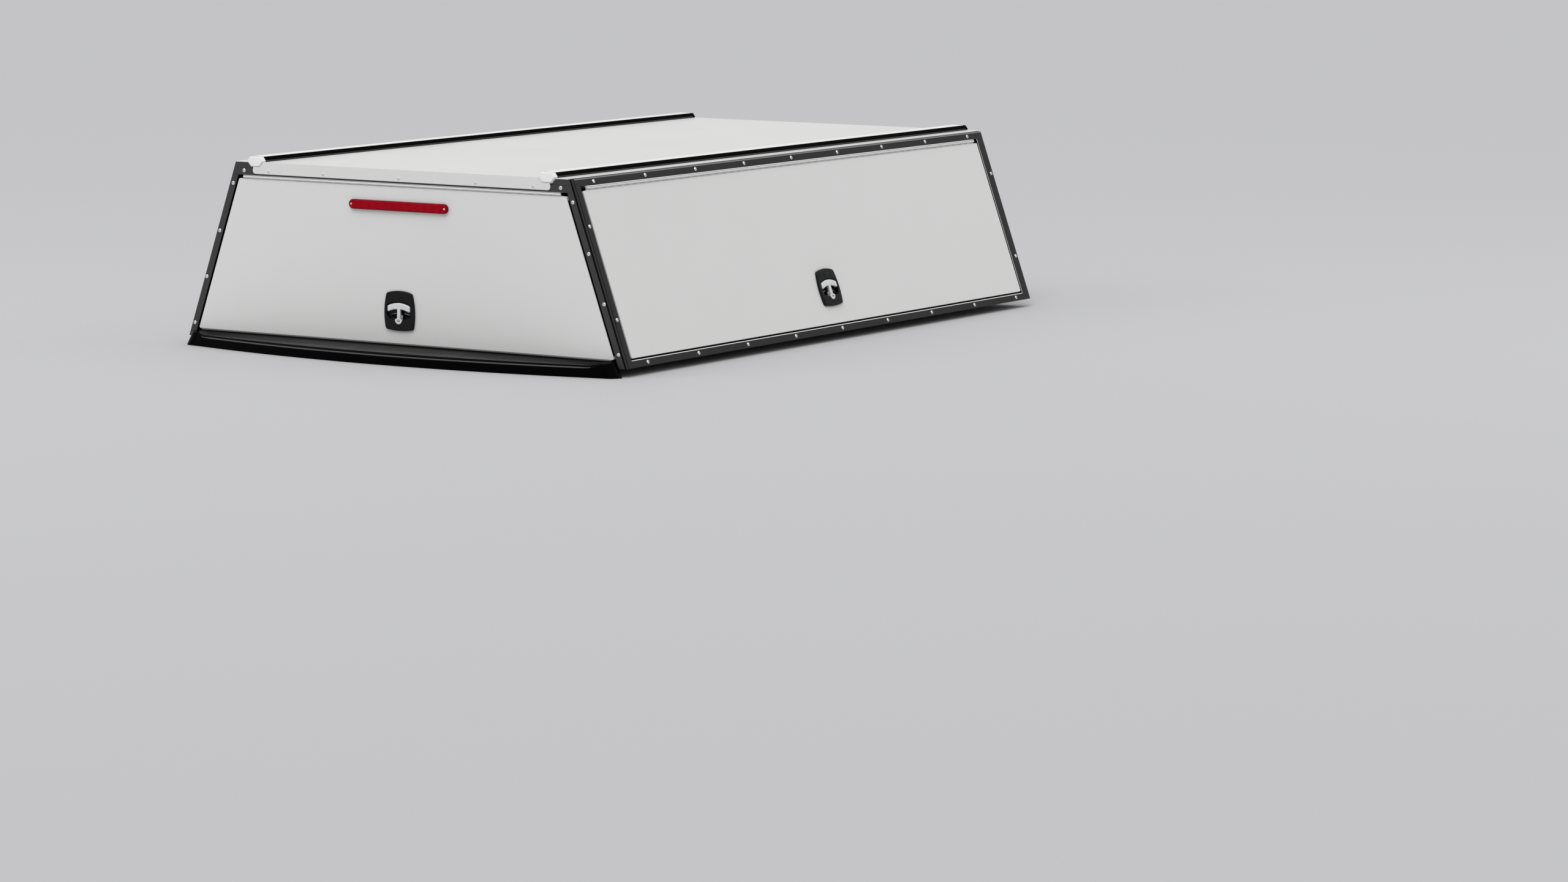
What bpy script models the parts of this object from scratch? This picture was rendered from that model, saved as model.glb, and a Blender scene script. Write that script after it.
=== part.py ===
"""Pickup truck canopy: a framed aluminium shell for the load bed, with a lift-up door on
each long side and one at the rear, each hung on a piano hinge and shut by a folding T-handle.

+Z is up, +Y points to the cab and +X to the truck's right. The origin is at the middle of the
bounding box, at the level of the lowest edge. All values are in metres.
"""

import math

import bmesh
import bpy
from mathutils import Vector

# Overall form of the frame
frame_length = 2.478
base_width = 1.741
top_width = 1.329
frame_height = 0.577

# Rear sill moulding, which reaches out over the tailgate and down behind it
sill_reach = 0.138
sill_end_reach = 0.046
sill_drop = 0.027
sill_lip = 0.020
sill_wall = 0.004
sill_fascia_wall = 0.003
sill_flange_wall = 0.002
sill_crease_level = 0.011
sill_crease_end_level = 0.0196
sill_shelf_share = 0.90
sill_edge_drop = 0.003
sill_edge_round = 0.001
sill_rise_start = 0.050
sill_rise_length = 0.070
sill_end_inset = 0.0195
sill_corner = 0.040

# Frame sections
fit_gap = 0.0003
wall = 0.003
face_width = 0.025
rebate = 0.026
header_face = 0.023
header_drop = 0.041
corner_width = 0.018
trim_rib_width = 0.0025
trim_rib_rise = 0.0008
trim_rib_starts = (0.006, 0.0125)
base_flange = 0.060
roof_ledge = 0.046

# Doors
door_depth = 0.018
door_skin = 0.002
door_gap = 0.006
rear_door_side_gap = 0.008
door_corner = 0.005
side_hinge_space = 0.0145
rear_hinge_space = 0.012
seal_overlap = 0.012
seal_thickness = 0.003

# Piano hinges
barrel_radius = 0.004
hinge_leaf = 0.0015
hinge_inset = 0.020
barrel_proud = 0.001
barrel_clearance = 0.0004
barrel_open_from = 118
barrel_sweep = 290
barrel_neck_back = 0.0046
barrel_neck_front = 0.0019

# Roof
roof_sheet = 0.003
roof_flange_drop = 0.039
roof_flange_corner = 0.010
roof_flange_lap = 0.003
roof_flange_past_rail = 0.012
rail_width = 0.064
rail_height = 0.030
rail_inset = 0.0865
rail_sunk = 0.014
rail_foot_width = 0.033
rail_top_width = 0.045
rail_tip_share = 0.57
rail_cap = 0.012
rail_cap_proud = 0.003
roof_side_margin = 0.008
bow_width = 0.040
bow_height = 0.022
bow_count = 2

# Locks
plate_height = 0.128
plate_width = 0.119
plate_proud = 0.008
plate_top_width = 0.100
plate_foot_width = 0.108
plate_crown = 0.0077
plate_sag = 0.0051
plate_bevel = 0.003
recess_margin = 0.005
recess_squareness = 5
recess_depth = 0.004
recess_wall = 0.002
pocket_depth = 0.012
pocket_draft = 0.0015
pocket_near = 0.0095
pocket_far = 0.039
pocket_near_edges = (-0.0285, -0.008)
pocket_far_edges = (-0.022, -0.012)
hub_width = 0.0166
hub_proud = 0.003
hub_drop = 0.0105
hub_bevel = 0.001
key_cover_top = 0.008
key_cover_width = 0.0285
key_cover_height = 0.016
handle_span = 0.088
handle_bar = 0.020
handle_thickness = 0.009
handle_stem = 0.012
handle_length = 0.044
handle_crown = 0.010
handle_proud = 0.002
handle_pivot_drop = 0.0186
rear_lock_rise = 0.105
side_lock_rise = 0.1215

# High brake light on the rear door
brake_light_length = 0.390
brake_light_height = 0.031
brake_light_depth = 0.012
brake_light_drop = 0.0725
brake_light_bevel = 0.003

# Worked out from the sizes above
header_bottom = frame_height - header_drop
rail_centre = top_width / 2 - rail_inset
sill_half_span = base_width / 2 - sill_end_inset
lean = math.atan2((base_width - top_width) / 2, frame_height)
slant = frame_height / math.cos(lean)
base_z = sill_drop
rear_y = -(frame_length + roof_sheet + rail_cap_proud - sill_reach) / 2
front_y = rear_y + frame_length


def half_width(z):
    """Half the frame's outer width at a height above its base."""
    return base_width / 2 - z * math.tan(lean)


class Plane:
    """A drawing plane: points are given along it, up it and out of it."""

    def __init__(self, origin, along, up, out):
        self.origin = Vector(origin)
        self.along = Vector(along)
        self.up = Vector(up)
        self.out = Vector(out)

    def at(self, a, b, n=0.0):
        return self.origin + self.along * a + self.up * b + self.out * n


def side_plane(side):
    """The sloping outer face of one long side, from its rear bottom corner."""
    sine, cosine = math.sin(lean), math.cos(lean)
    return Plane(
        (side * base_width / 2, rear_y, base_z),
        (0, 1, 0),
        (-side * sine, 0, cosine),
        (side * cosine, 0, sine),
    )


rear_plane = Plane((0, rear_y, base_z), (1, 0, 0), (0, 0, 1), (0, -1, 0))
front_plane = Plane((0, front_y, base_z), (1, 0, 0), (0, 0, 1), (0, 1, 0))


def clear_scene():
    for item in list(bpy.data.objects):
        bpy.data.objects.remove(item, do_unlink=True)


def finish(name, colour, roughness, metallic):
    material = bpy.data.materials.new(name)
    material.use_nodes = True
    shader = material.node_tree.nodes["Principled BSDF"]
    shader.inputs["Base Color"].default_value = (*colour, 1.0)
    shader.inputs["Roughness"].default_value = roughness
    shader.inputs["Metallic"].default_value = metallic
    return material


def pivot(name, place, parent=None):
    """An empty on a joint's axis, which carries a moving group."""
    empty = bpy.data.objects.new(name, None)
    empty.empty_display_size = 0.05
    bpy.context.scene.collection.objects.link(empty)
    empty["place"] = list(place)
    if parent is None:
        empty.location = place
    else:
        empty.parent = parent
        empty.location = Vector(place) - Vector(parent["place"])
    return empty


def solid(name, rings, material, carrier=None):
    """Joins rings of points, all with the same count, into one closed body with flat ends."""
    count = len(rings[0])
    origin = Vector(carrier["place"]) if carrier else sum(rings[0], Vector()) / count
    points = [point - origin for ring in rings for point in ring]
    faces = [tuple(range(count)), tuple(range(len(points) - count, len(points)))]
    for start in range(0, len(points) - count, count):
        for i in range(count):
            j = (i + 1) % count
            faces.append((start + i, start + j, start + count + j, start + count + i))
    mesh = bpy.data.meshes.new(name)
    mesh.from_pydata(points, [], faces)
    shape = bmesh.new()
    shape.from_mesh(mesh)
    bmesh.ops.recalc_face_normals(shape, faces=shape.faces)
    shape.to_mesh(mesh)
    shape.free()
    mesh.materials.append(material)
    item = bpy.data.objects.new(name, mesh)
    bpy.context.scene.collection.objects.link(item)
    if carrier:
        item.parent = carrier
    else:
        item.location = origin
    return item


def hollow_out(item, cutter):
    """Cuts one solid out of another and keeps the cutter as a hidden guide."""
    cutter.hide_render = True
    cutter.display_type = "WIRE"
    cut = item.modifiers.new("cut_" + cutter.name, "BOOLEAN")
    cut.operation = "DIFFERENCE"
    cut.object = cutter


def add_to(item, other):
    """Joins another solid onto one by a union and keeps the other as a hidden guide."""
    other.hide_render = True
    other.display_type = "WIRE"
    join = item.modifiers.new("add_" + other.name, "BOOLEAN")
    join.operation = "UNION"
    join.object = other


def rounded(corners, radius, steps=4):
    """The outline through these corners, each with a round of this radius."""
    outline = []
    for i, corner in enumerate(corners):
        corner = Vector(corner)
        back = (Vector(corners[i - 1]) - corner).normalized()
        ahead = (Vector(corners[(i + 1) % len(corners)]) - corner).normalized()
        half = back.angle(ahead) / 2
        centre = corner + (back + ahead).normalized() * radius / math.sin(half)
        start = corner + back * radius / math.tan(half) - centre
        end = corner + ahead * radius / math.tan(half) - centre
        for k in range(steps + 1):
            share = k / steps
            angle = start.angle(end)
            first = math.sin((1 - share) * angle) / math.sin(angle)
            second = math.sin(share * angle) / math.sin(angle)
            outline.append(centre + start * first + end * second)
    return outline


def inset(corners, distance):
    """The same convex outline with each side moved inwards."""
    count = len(corners)
    middle = sum((Vector(c) for c in corners), Vector((0, 0))) / count
    lines = []
    for i in range(count):
        start, end = Vector(corners[i]), Vector(corners[(i + 1) % count])
        run = (end - start).normalized()
        inward = Vector((-run.y, run.x))
        if inward.dot(middle - start) < 0:
            inward = -inward
        lines.append((start + inward * distance, run))
    result = []
    for i in range(count):
        (p, r), (q, s) = lines[i - 1], lines[i]
        cross = r.x * s.y - r.y * s.x
        reach = ((q - p).x * s.y - (q - p).y * s.x) / cross
        result.append(p + r * reach)
    return result


def rail_along_side(name, plane, section, start, end, material, carrier=None):
    """Extrudes a section, drawn as (out, up), along a side from start to end."""
    rings = [[plane.at(a, b, n) for n, b in section] for a in (start, end)]
    return solid(name, rings, material, carrier)


def post_up_side(name, plane, section, material, low=None, high=None):
    """Extrudes a section, drawn as (out, along), up the slope of a side.

    Without low and high its ends are cut level, at the frame's base and at its top.
    """
    rings = []
    for level, limit in ((0.0, low), (frame_height, high)):
        ring = []
        for n, a in section:
            b = limit if limit is not None else (level - n * math.sin(lean)) / math.cos(lean)
            ring.append(plane.at(a, b, n))
        rings.append(ring)
    return solid(name, rings, material)


def side_frame(side, name, dark):
    plane = side_plane(side)
    sine, cosine = math.sin(lean), math.cos(lean)
    inner = corner_width + face_width
    run = (inner + fit_gap, frame_length - inner - fit_gap)

    def level_in(distance, rise):
        """A point this far in from the outer bottom edge, level with it, raised by rise."""
        return (rise * sine - distance * cosine, rise * cosine + distance * sine)

    base = [
        (0.0, 0.0),
        (0.0, face_width),
        (-rebate, face_width),
        (-rebate, face_width - wall),
        (-wall, face_width - wall),
        level_in(wall / cosine, wall),
        level_in(base_flange, wall),
        level_in(base_flange, 0.0),
    ]
    rail_along_side(name + "_base_rail", plane, base, *run, dark)

    low = slant - face_width

    def level_top(distance, drop):
        """A point this far in from the outer top edge, level with it, lowered by drop."""
        return (-drop * sine - distance * cosine, slant - drop * cosine + distance * sine)

    top = [
        (0.0, slant),
        (0.0, low),
        (-rebate, low),
        (-rebate, low + wall),
        (-wall, low + wall),
        level_top(wall / cosine + wall * sine, wall),
        level_top(roof_ledge, wall),
        level_top(roof_ledge, 0.0),
    ]
    rail_along_side(name + "_top_rail", plane, top, *run, dark)

    post = [
        (0.0, corner_width + fit_gap),
        (0.0, inner),
        (-rebate, inner),
        (-rebate, inner - wall),
        (-wall, inner - wall),
        (-wall, corner_width + fit_gap),
    ]
    post_up_side(name + "_side_rear_post", plane, post, dark)

    trim = [(-wall, 0.0), (0.0, 0.0)]
    rise = trim_rib_rise
    for start in trim_rib_starts:
        stop = start + trim_rib_width
        trim += [(0.0, start), (rise, start), (rise, stop), (0.0, stop)]
    trim += [(0.0, corner_width), (-wall, corner_width)]
    post_up_side(name + "_rear_corner_trim", plane, trim, dark)


def end_posts(dark):
    """The rear frame's two posts, and the two corner posts at the front."""
    clear = (wall + fit_gap) / math.cos(lean)
    thick = wall / math.cos(lean)
    across = face_width / math.cos(lean)
    behind = rebate / math.cos(lean)
    inner = corner_width + face_width
    rear = [
        (clear, 0.0),
        (across, 0.0),
        (across, rebate),
        (across - wall, rebate),
        (across - wall, wall),
        (clear + wall, wall),
        (clear + wall, corner_width),
        (clear, corner_width),
    ]
    front = [
        (0.0, 0.0),
        (0.0, inner),
        (behind, inner),
        (behind, inner - wall),
        (thick, inner - wall),
        (thick, wall),
        (across - wall, wall),
        (across - wall, rebate),
        (across, rebate),
        (across, 0.0),
    ]
    for side, label in ((-1, "left"), (1, "right")):
        for plane, name, section, top in (
            (rear_plane, f"rear_{label}_post", rear, header_bottom - fit_gap),
            (front_plane, f"front_{label}_corner_post", front, frame_height),
        ):
            rings = []
            for level in (0.0, top):
                edge = half_width(level)
                rings.append([plane.at(side * (edge - a), level, -n) for a, n in section])
            solid(name, rings, dark)


def end_rails(plane, name, header_inset, base_height, dark):
    """The header and the base rail of one end, each an open section between or over posts."""
    top = header_bottom + header_face
    header = [
        (0.0, header_bottom),
        (0.0, top),
        (wall, top),
        (wall, header_bottom + wall),
        (rebate, header_bottom + wall),
        (rebate, header_bottom),
    ]
    depth = corner_width + face_width - wall - fit_gap
    base = [
        (0.0, 0.0),
        (0.0, base_height),
        (rebate, base_height),
        (rebate, base_height - wall),
        (wall, base_height - wall),
        (wall, wall),
        (depth, wall),
        (depth, 0.0),
    ]
    base_inset = face_width / math.cos(lean) + fit_gap
    for label, section, edge in (
        ("_header", header, header_inset),
        ("_base_rail", base, base_inset),
    ):
        rings = []
        for side in (-1, 1):
            ring = [plane.at(side * (half_width(level) - edge), level, -n) for n, level in section]
            rings.append(ring)
        solid(name + label, rings, dark)


def end_corner_caps(plane, name, outer_clear, dark):
    """The plates that close each end of the side top rails, beside the roof rails."""
    low = header_bottom + header_face + fit_gap
    high = frame_height - fit_gap
    for side, label in ((-1, "left"), (1, "right")):
        corners = [
            (valley_edge(low), low),
            (half_width(low) - outer_clear, low),
            (half_width(high) - outer_clear, high),
            (valley_edge(high), high),
        ]
        rings = [[plane.at(side * x, z, n) for x, z in corners] for n in (-wall, 0.0)]
        solid(f"{name}_{label}_corner_cap", rings, dark)


def rail_half(height):
    """Half the roof rail's width at a height over its underside."""
    tip = rail_height * rail_tip_share
    if height <= tip:
        share = height / tip
        return (rail_foot_width * (1 - share) + rail_width * share) / 2
    share = (height - tip) / (rail_height - tip)
    return (rail_width * (1 - share) + rail_top_width * share) / 2


def valley_edge(level):
    """Where the outer wall of the roof's valley stands, seen from outside, at this level."""
    height = level - frame_height + rail_sunk
    return rail_centre + rail_half(max(height, 0.0)) + 2 * fit_gap + roof_sheet / 2


def door_seal(name, plane, opening, rubber):
    """A flat ring behind a doorway, which the shut door's edges overlap."""
    outer = opening
    inner = inset(opening, seal_overlap + door_gap)
    back, front = -rebate - fit_gap - seal_thickness, -rebate - fit_gap
    rings = [(outer, back), (outer, front), (inner, front), (inner, back)]
    points = [[plane.at(a, b, n) for a, b in outline] for outline, n in rings]
    item = solid(name, points, rubber)
    shape = bmesh.new()
    shape.from_mesh(item.data)
    caps = [face for face in shape.faces if len(face.verts) == len(opening)]
    flat = [f for f in caps if abs(f.normal.dot(plane.out)) > 0.9]
    ends = sorted(flat, key=lambda face: face.calc_area())[-2:]
    bmesh.ops.delete(shape, geom=ends, context="FACES")
    edges = [edge for edge in shape.edges if edge.is_boundary]
    bmesh.ops.bridge_loops(shape, edges=edges)
    bmesh.ops.recalc_face_normals(shape, faces=shape.faces)
    shape.to_mesh(item.data)
    shape.free()
    return item


def door_pan(name, plane, corners, material, carrier):
    """A sheet skin with a folded edge all round, open towards the inside."""
    inner = inset(corners, door_skin)
    inner_corner = max(door_corner - door_skin, 0.001)
    levels = [
        (rounded(corners, door_corner), 0.0),
        (rounded(corners, door_corner), -door_depth),
        (rounded(inner, inner_corner), -door_depth),
        (rounded(inner, inner_corner), -door_skin),
    ]
    rings = [[plane.at(p.x, p.y, n) for p in outline] for outline, n in levels]
    return solid(name, rings, material, carrier)


def hinge_place(top_edge, space):
    """The barrel's centre as (out, up), in the space above a door's top edge."""
    return barrel_proud, top_edge + space / 2


def arc(centre, radius, start, end, steps):
    """Points round a centre; angles in degrees, from the outward direction towards up."""
    points = []
    for k in range(steps + 1):
        angle = math.radians(start + (end - start) * k / steps)
        points.append((centre[0] + radius * math.cos(angle), centre[1] + radius * math.sin(angle)))
    return points


def piano_hinge(name, plane, run, top_edge, space, metal, carrier):
    """The frame's leaf with the barrel, and the door's leaf, which curls round under it."""
    centre = hinge_place(top_edge, space)
    ceiling = top_edge + space - fit_gap
    leaf_in = -door_depth
    leaf_low = ceiling - 2 * hinge_leaf
    fixed = arc(centre, barrel_radius, barrel_open_from, barrel_open_from - barrel_sweep, 14)
    fixed += [
        (centre[0] - barrel_neck_back, leaf_low),
        (leaf_in, leaf_low),
        (leaf_in, ceiling),
        (centre[0] - barrel_neck_front, ceiling),
    ]
    rail_along_side(name + "_frame_leaf", plane, fixed, *run, metal)
    inside = barrel_radius + barrel_clearance
    outside = inside + hinge_leaf
    seat = top_edge + fit_gap
    moving = arc(centre, outside, -20, -90, 5)
    moving = [(n, max(b, seat)) for n, b in moving]
    moving += [(leaf_in, seat), (leaf_in, seat + hinge_leaf)]
    moving += [(n, max(b, seat + hinge_leaf)) for n, b in arc(centre, inside, -110, -20, 6)]
    rail_along_side(name + "_door_leaf", plane, moving, *run, metal, carrier)


def plate_outline(shrink=0.0, steps=10):
    """The lock plate's barrel outline: an arched top and foot and bulging sides."""
    top, foot, waist = plate_top_width / 2, plate_foot_width / 2, plate_width / 2
    crown, sag = plate_crown, plate_sag
    rise, fall = plate_height / 2 - crown, sag - plate_height / 2
    outline = []
    for k in range(steps):
        share = 2 * k / steps - 1
        outline.append((-top * share, rise + crown * (1 - share * share)))
    for k in range(steps):
        share = k / steps
        width = -top * (1 - share) - foot * share
        bulge = (waist - (top + foot) / 2) * 4 * share * (1 - share)
        outline.append((width - bulge, rise * (1 - share) + fall * share))
    for k in range(steps):
        share = 2 * k / steps - 1
        outline.append((foot * share, fall - sag * (1 - share * share)))
    for k in range(steps):
        share = k / steps
        width = foot * (1 - share) + top * share
        bulge = (waist - (top + foot) / 2) * 4 * share * (1 - share)
        outline.append((width + bulge, fall * (1 - share) + rise * share))
    scale_a = 1 - 2 * shrink / plate_width
    scale_b = 1 - 2 * shrink / plate_height
    return [(a * scale_a, b * scale_b) for a, b in outline]


def recess_outline(grow, like):
    """The T-handle's rounded recess, with one point on the ray of each point of another outline."""
    half_a = handle_span / 2 + recess_margin + grow
    half_b = handle_length - handle_pivot_drop + recess_margin + grow
    outline = []
    for a, b in like:
        power = recess_squareness
        size = ((abs(a) / half_a) ** power + (abs(b) / half_b) ** power) ** (1 / power)
        outline.append((a / size, b / size))
    return outline


def finger_pocket(side, grow):
    """The deeper pocket beside the T-handle's stem, where a finger reaches behind the bar."""
    corners = [
        (side * pocket_near, pocket_near_edges[0]),
        (side * pocket_far, pocket_far_edges[0]),
        (side * pocket_far, pocket_far_edges[1]),
        (side * pocket_near, pocket_near_edges[1]),
    ]
    return inset(corners, -grow)


def handle_outline(shrink, foot):
    """The T-handle seen from outside, with its hub at the origin and its bar arched upwards."""
    half, stem = handle_span / 2 - shrink, handle_stem / 2
    top, low = handle_length - shrink, handle_length - handle_bar + shrink
    steps = 8
    outline = []
    for k in range(steps + 1):
        share = 1 - 2 * k / steps
        outline.append((half * share, top - handle_crown * share * share))
    neck = stem / half
    for k in range(1, steps // 2 + 1):
        share = 1 - k / (steps // 2) * (1 - neck)
        outline.append((-half * share, low - handle_crown * share * share))
    outline += [(-stem, -foot), (stem, -foot)]
    for k in range(steps // 2, 0, -1):
        share = 1 - k / (steps // 2) * (1 - neck)
        outline.append((half * share, low - handle_crown * share * share))
    return outline


def lock_plate(name, plane, place, door, black, carrier):
    """A raised plate let into the door, with the handle's recess and two finger pockets."""

    def layer(outline, n):
        return [plane.at(place[0] + a, place[1] + b, n) for a, b in outline]

    outer = plate_outline()
    cup = recess_wall
    rings = [
        layer(recess_outline(cup, outer), -recess_depth - cup),
        layer(recess_outline(cup, outer), fit_gap),
        layer(outer, fit_gap),
        layer(outer, plate_proud - plate_bevel),
        layer(plate_outline(plate_bevel), plate_proud),
        layer(recess_outline(0.0, outer), plate_proud),
        layer(recess_outline(-cup / 2, outer), -recess_depth),
    ]
    plate = solid(name + "_lock_plate", rings, black, carrier)
    for side, label in ((-1, "low"), (1, "high")):
        levels = (
            (cup - pocket_draft, -pocket_depth - cup),
            (cup, -recess_depth - cup / 2),
        )
        rings = [layer(finger_pocket(side, grow), n) for grow, n in levels]
        add_to(plate, solid(f"{name}_{label}_pocket_cup", rings, black, carrier))
        levels = ((-pocket_draft, -pocket_depth), (0.0, 0.0))
        rings = [layer(finger_pocket(side, grow), n) for grow, n in levels]
        hollow_out(plate, solid(f"{name}_{label}_pocket_cut", rings, black, carrier))

    rings = [layer(recess_outline(cup + fit_gap, outer), n) for n in (-door_depth / 2, door_skin)]
    hollow_out(door, solid(name + "_lock_cut", rings, black, carrier))


def lock_hub(name, plane, turn, lift, chrome, carrier):
    """The block that the handle's foot folds against, with the round key cover under it."""
    knob = handle_thickness / 2
    floor = -recess_depth + fit_gap
    seat = lift - knob - fit_gap
    step = -knob - fit_gap
    top = plate_proud + hub_proud
    section = [(knob, floor), (knob, seat), (step, seat), (step, top), (-hub_drop, top)]
    section.append((-hub_drop, floor))
    half = hub_width / 2
    rings = [[plane.at(turn[0] + a, turn[1] + b, n) for b, n in section] for a in (-half, half)]
    hub = solid(name + "_lock_hub", rings, chrome, carrier)

    rings = []
    for n, shrink in (
        (plate_proud + fit_gap, 0.0),
        (top - hub_bevel, 0.0),
        (top, hub_bevel),
    ):
        across, down = key_cover_width / 2 - shrink, key_cover_height - shrink
        ring = []
        for k in range(13):
            angle = math.pi * k / 12
            a, b = across * math.cos(angle), -key_cover_top - down * math.sin(angle)
            ring.append(plane.at(turn[0] + a, turn[1] + b, n))
        rings.append(ring)
    add_to(hub, solid(name + "_key_cover_guide", rings, chrome, carrier))


def lock(name, plane, place, door, black, chrome, carrier):
    """A door's lock: its plate, its hub and its T-handle, folded flat on a cross axis."""
    lock_plate(name, plane, place, door, black, carrier)
    knob = handle_thickness / 2
    turn = (place[0], place[1] - handle_pivot_drop)
    lift = plate_proud - knob + handle_proud
    lock_hub(name, plane, turn, lift, chrome, carrier)
    axis = pivot(name + "_handle_axis", plane.at(*turn, lift), carrier)
    rings = []
    for share in (-1.0, -0.7, 0.0, 0.7, 1.0):
        foot = knob * math.sqrt(1 - share * share)
        shrink = knob * 0.3 if abs(share) == 1.0 else 0.0
        outline = handle_outline(shrink, foot)
        rings.append([plane.at(a + turn[0], b + turn[1], lift + knob * share) for a, b in outline])
    solid(name + "_lock_handle", rings, chrome, axis)


def side_door(side, name, paint, metal, black, chrome):
    plane = side_plane(side)
    top_edge = slant - face_width - side_hinge_space
    rear_edge = corner_width + face_width + door_gap
    front_edge = frame_length - rear_edge
    low_edge = face_width + door_gap
    out, up = hinge_place(top_edge, side_hinge_space)
    middle = frame_length / 2
    axis = pivot(name + "_door_axis", plane.at(middle, up, out))
    corners = [
        (rear_edge, low_edge),
        (front_edge, low_edge),
        (front_edge, top_edge),
        (rear_edge, top_edge),
    ]
    door = door_pan(name + "_door", plane, corners, paint, axis)
    run = (rear_edge + hinge_inset, front_edge - hinge_inset)
    piano_hinge(name + "_hinge", plane, run, top_edge, side_hinge_space, metal, axis)
    place = (middle, low_edge + side_lock_rise)
    lock(name, plane, place, door, black, chrome, axis)
    edge = door_gap
    opening = [
        (rear_edge - edge, low_edge - edge),
        (front_edge + edge, low_edge - edge),
        (front_edge + edge, slant - face_width),
        (rear_edge - edge, slant - face_width),
    ]
    return opening


def rear_door(paint, metal, black, chrome, lens):
    top_edge = header_bottom - rear_hinge_space
    low_edge = sill_lip + door_gap
    across = face_width / math.cos(lean)
    out, up = hinge_place(top_edge, rear_hinge_space)
    axis = pivot("rear_door_axis", rear_plane.at(0.0, up, out))

    def edge(level):
        return half_width(level) - across - rear_door_side_gap

    corners = [
        (-edge(low_edge), low_edge),
        (edge(low_edge), low_edge),
        (edge(top_edge), top_edge),
        (-edge(top_edge), top_edge),
    ]
    door = door_pan("rear_door", rear_plane, corners, paint, axis)
    reach = edge(top_edge) - hinge_inset
    piano_hinge("rear_hinge", rear_plane, (-reach, reach), top_edge, rear_hinge_space, metal, axis)
    lock("rear", rear_plane, (0.0, low_edge + rear_lock_rise), door, black, chrome, axis)

    half, end = brake_light_length / 2, brake_light_height / 2
    corners = [(-half, -end), (half, -end), (half, end), (-half, end)]
    bevel, level = brake_light_bevel, header_bottom - brake_light_drop
    nearly_full = 0.98
    rings = []
    for shrink, n in ((0.0, fit_gap), (0.0, brake_light_depth - bevel), (bevel, brake_light_depth)):
        outline = rounded(inset(corners, shrink), (end - shrink) * nearly_full, 6)
        rings.append([rear_plane.at(p.x, p.y + level, n) for p in outline])
    solid("brake_light", rings, lens, axis)


def sill_moulding(black):
    """The moulding under the rear door: a shelf that bows out rearwards over a fascia."""
    straight = sill_half_span - sill_corner
    stations = [straight * (k / 8 - 1) for k in range(17)]
    turns = [math.radians(15 * k) for k in range(1, 6)]
    for turn in turns:
        reach = straight + sill_corner * math.sin(turn)
        stations = [-reach] + stations + [reach]
    rings = []
    for x in sorted(stations):
        if abs(x) <= straight + 1e-9:
            depth = sill_reach - (sill_reach - sill_end_reach) * (x / straight) ** 2
        else:
            rest = (abs(x) - straight) / sill_corner
            depth = sill_end_reach - sill_corner * (1 - math.sqrt(1 - rest * rest))
        ease = min(max((abs(x) - straight + sill_rise_start) / sill_rise_length, 0.0), 1.0)
        rise = ease * ease * (3 - 2 * ease)
        edge = rise * (sill_lip - sill_edge_drop)
        crease = sill_crease_level + rise * (sill_crease_end_level - sill_crease_level)
        shelf = depth * sill_shelf_share
        fascia_back = depth - sill_fascia_wall
        flange_back = fit_gap + sill_flange_wall
        section = [
            (fit_gap, sill_lip),
            (shelf, crease),
            (depth - sill_edge_round, edge + sill_edge_round),
            (depth, edge - sill_edge_round),
            (depth, -sill_drop),
            (fascia_back, -sill_drop),
            (fascia_back, edge - sill_wall),
            (shelf - sill_flange_wall, crease - sill_wall),
            (flange_back, sill_lip - sill_wall),
            (flange_back, 0.0),
            (fit_gap, 0.0),
        ]
        rings.append([rear_plane.at(x, b, n) for n, b in section])
    solid("rear_sill_moulding", rings, black)


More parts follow.
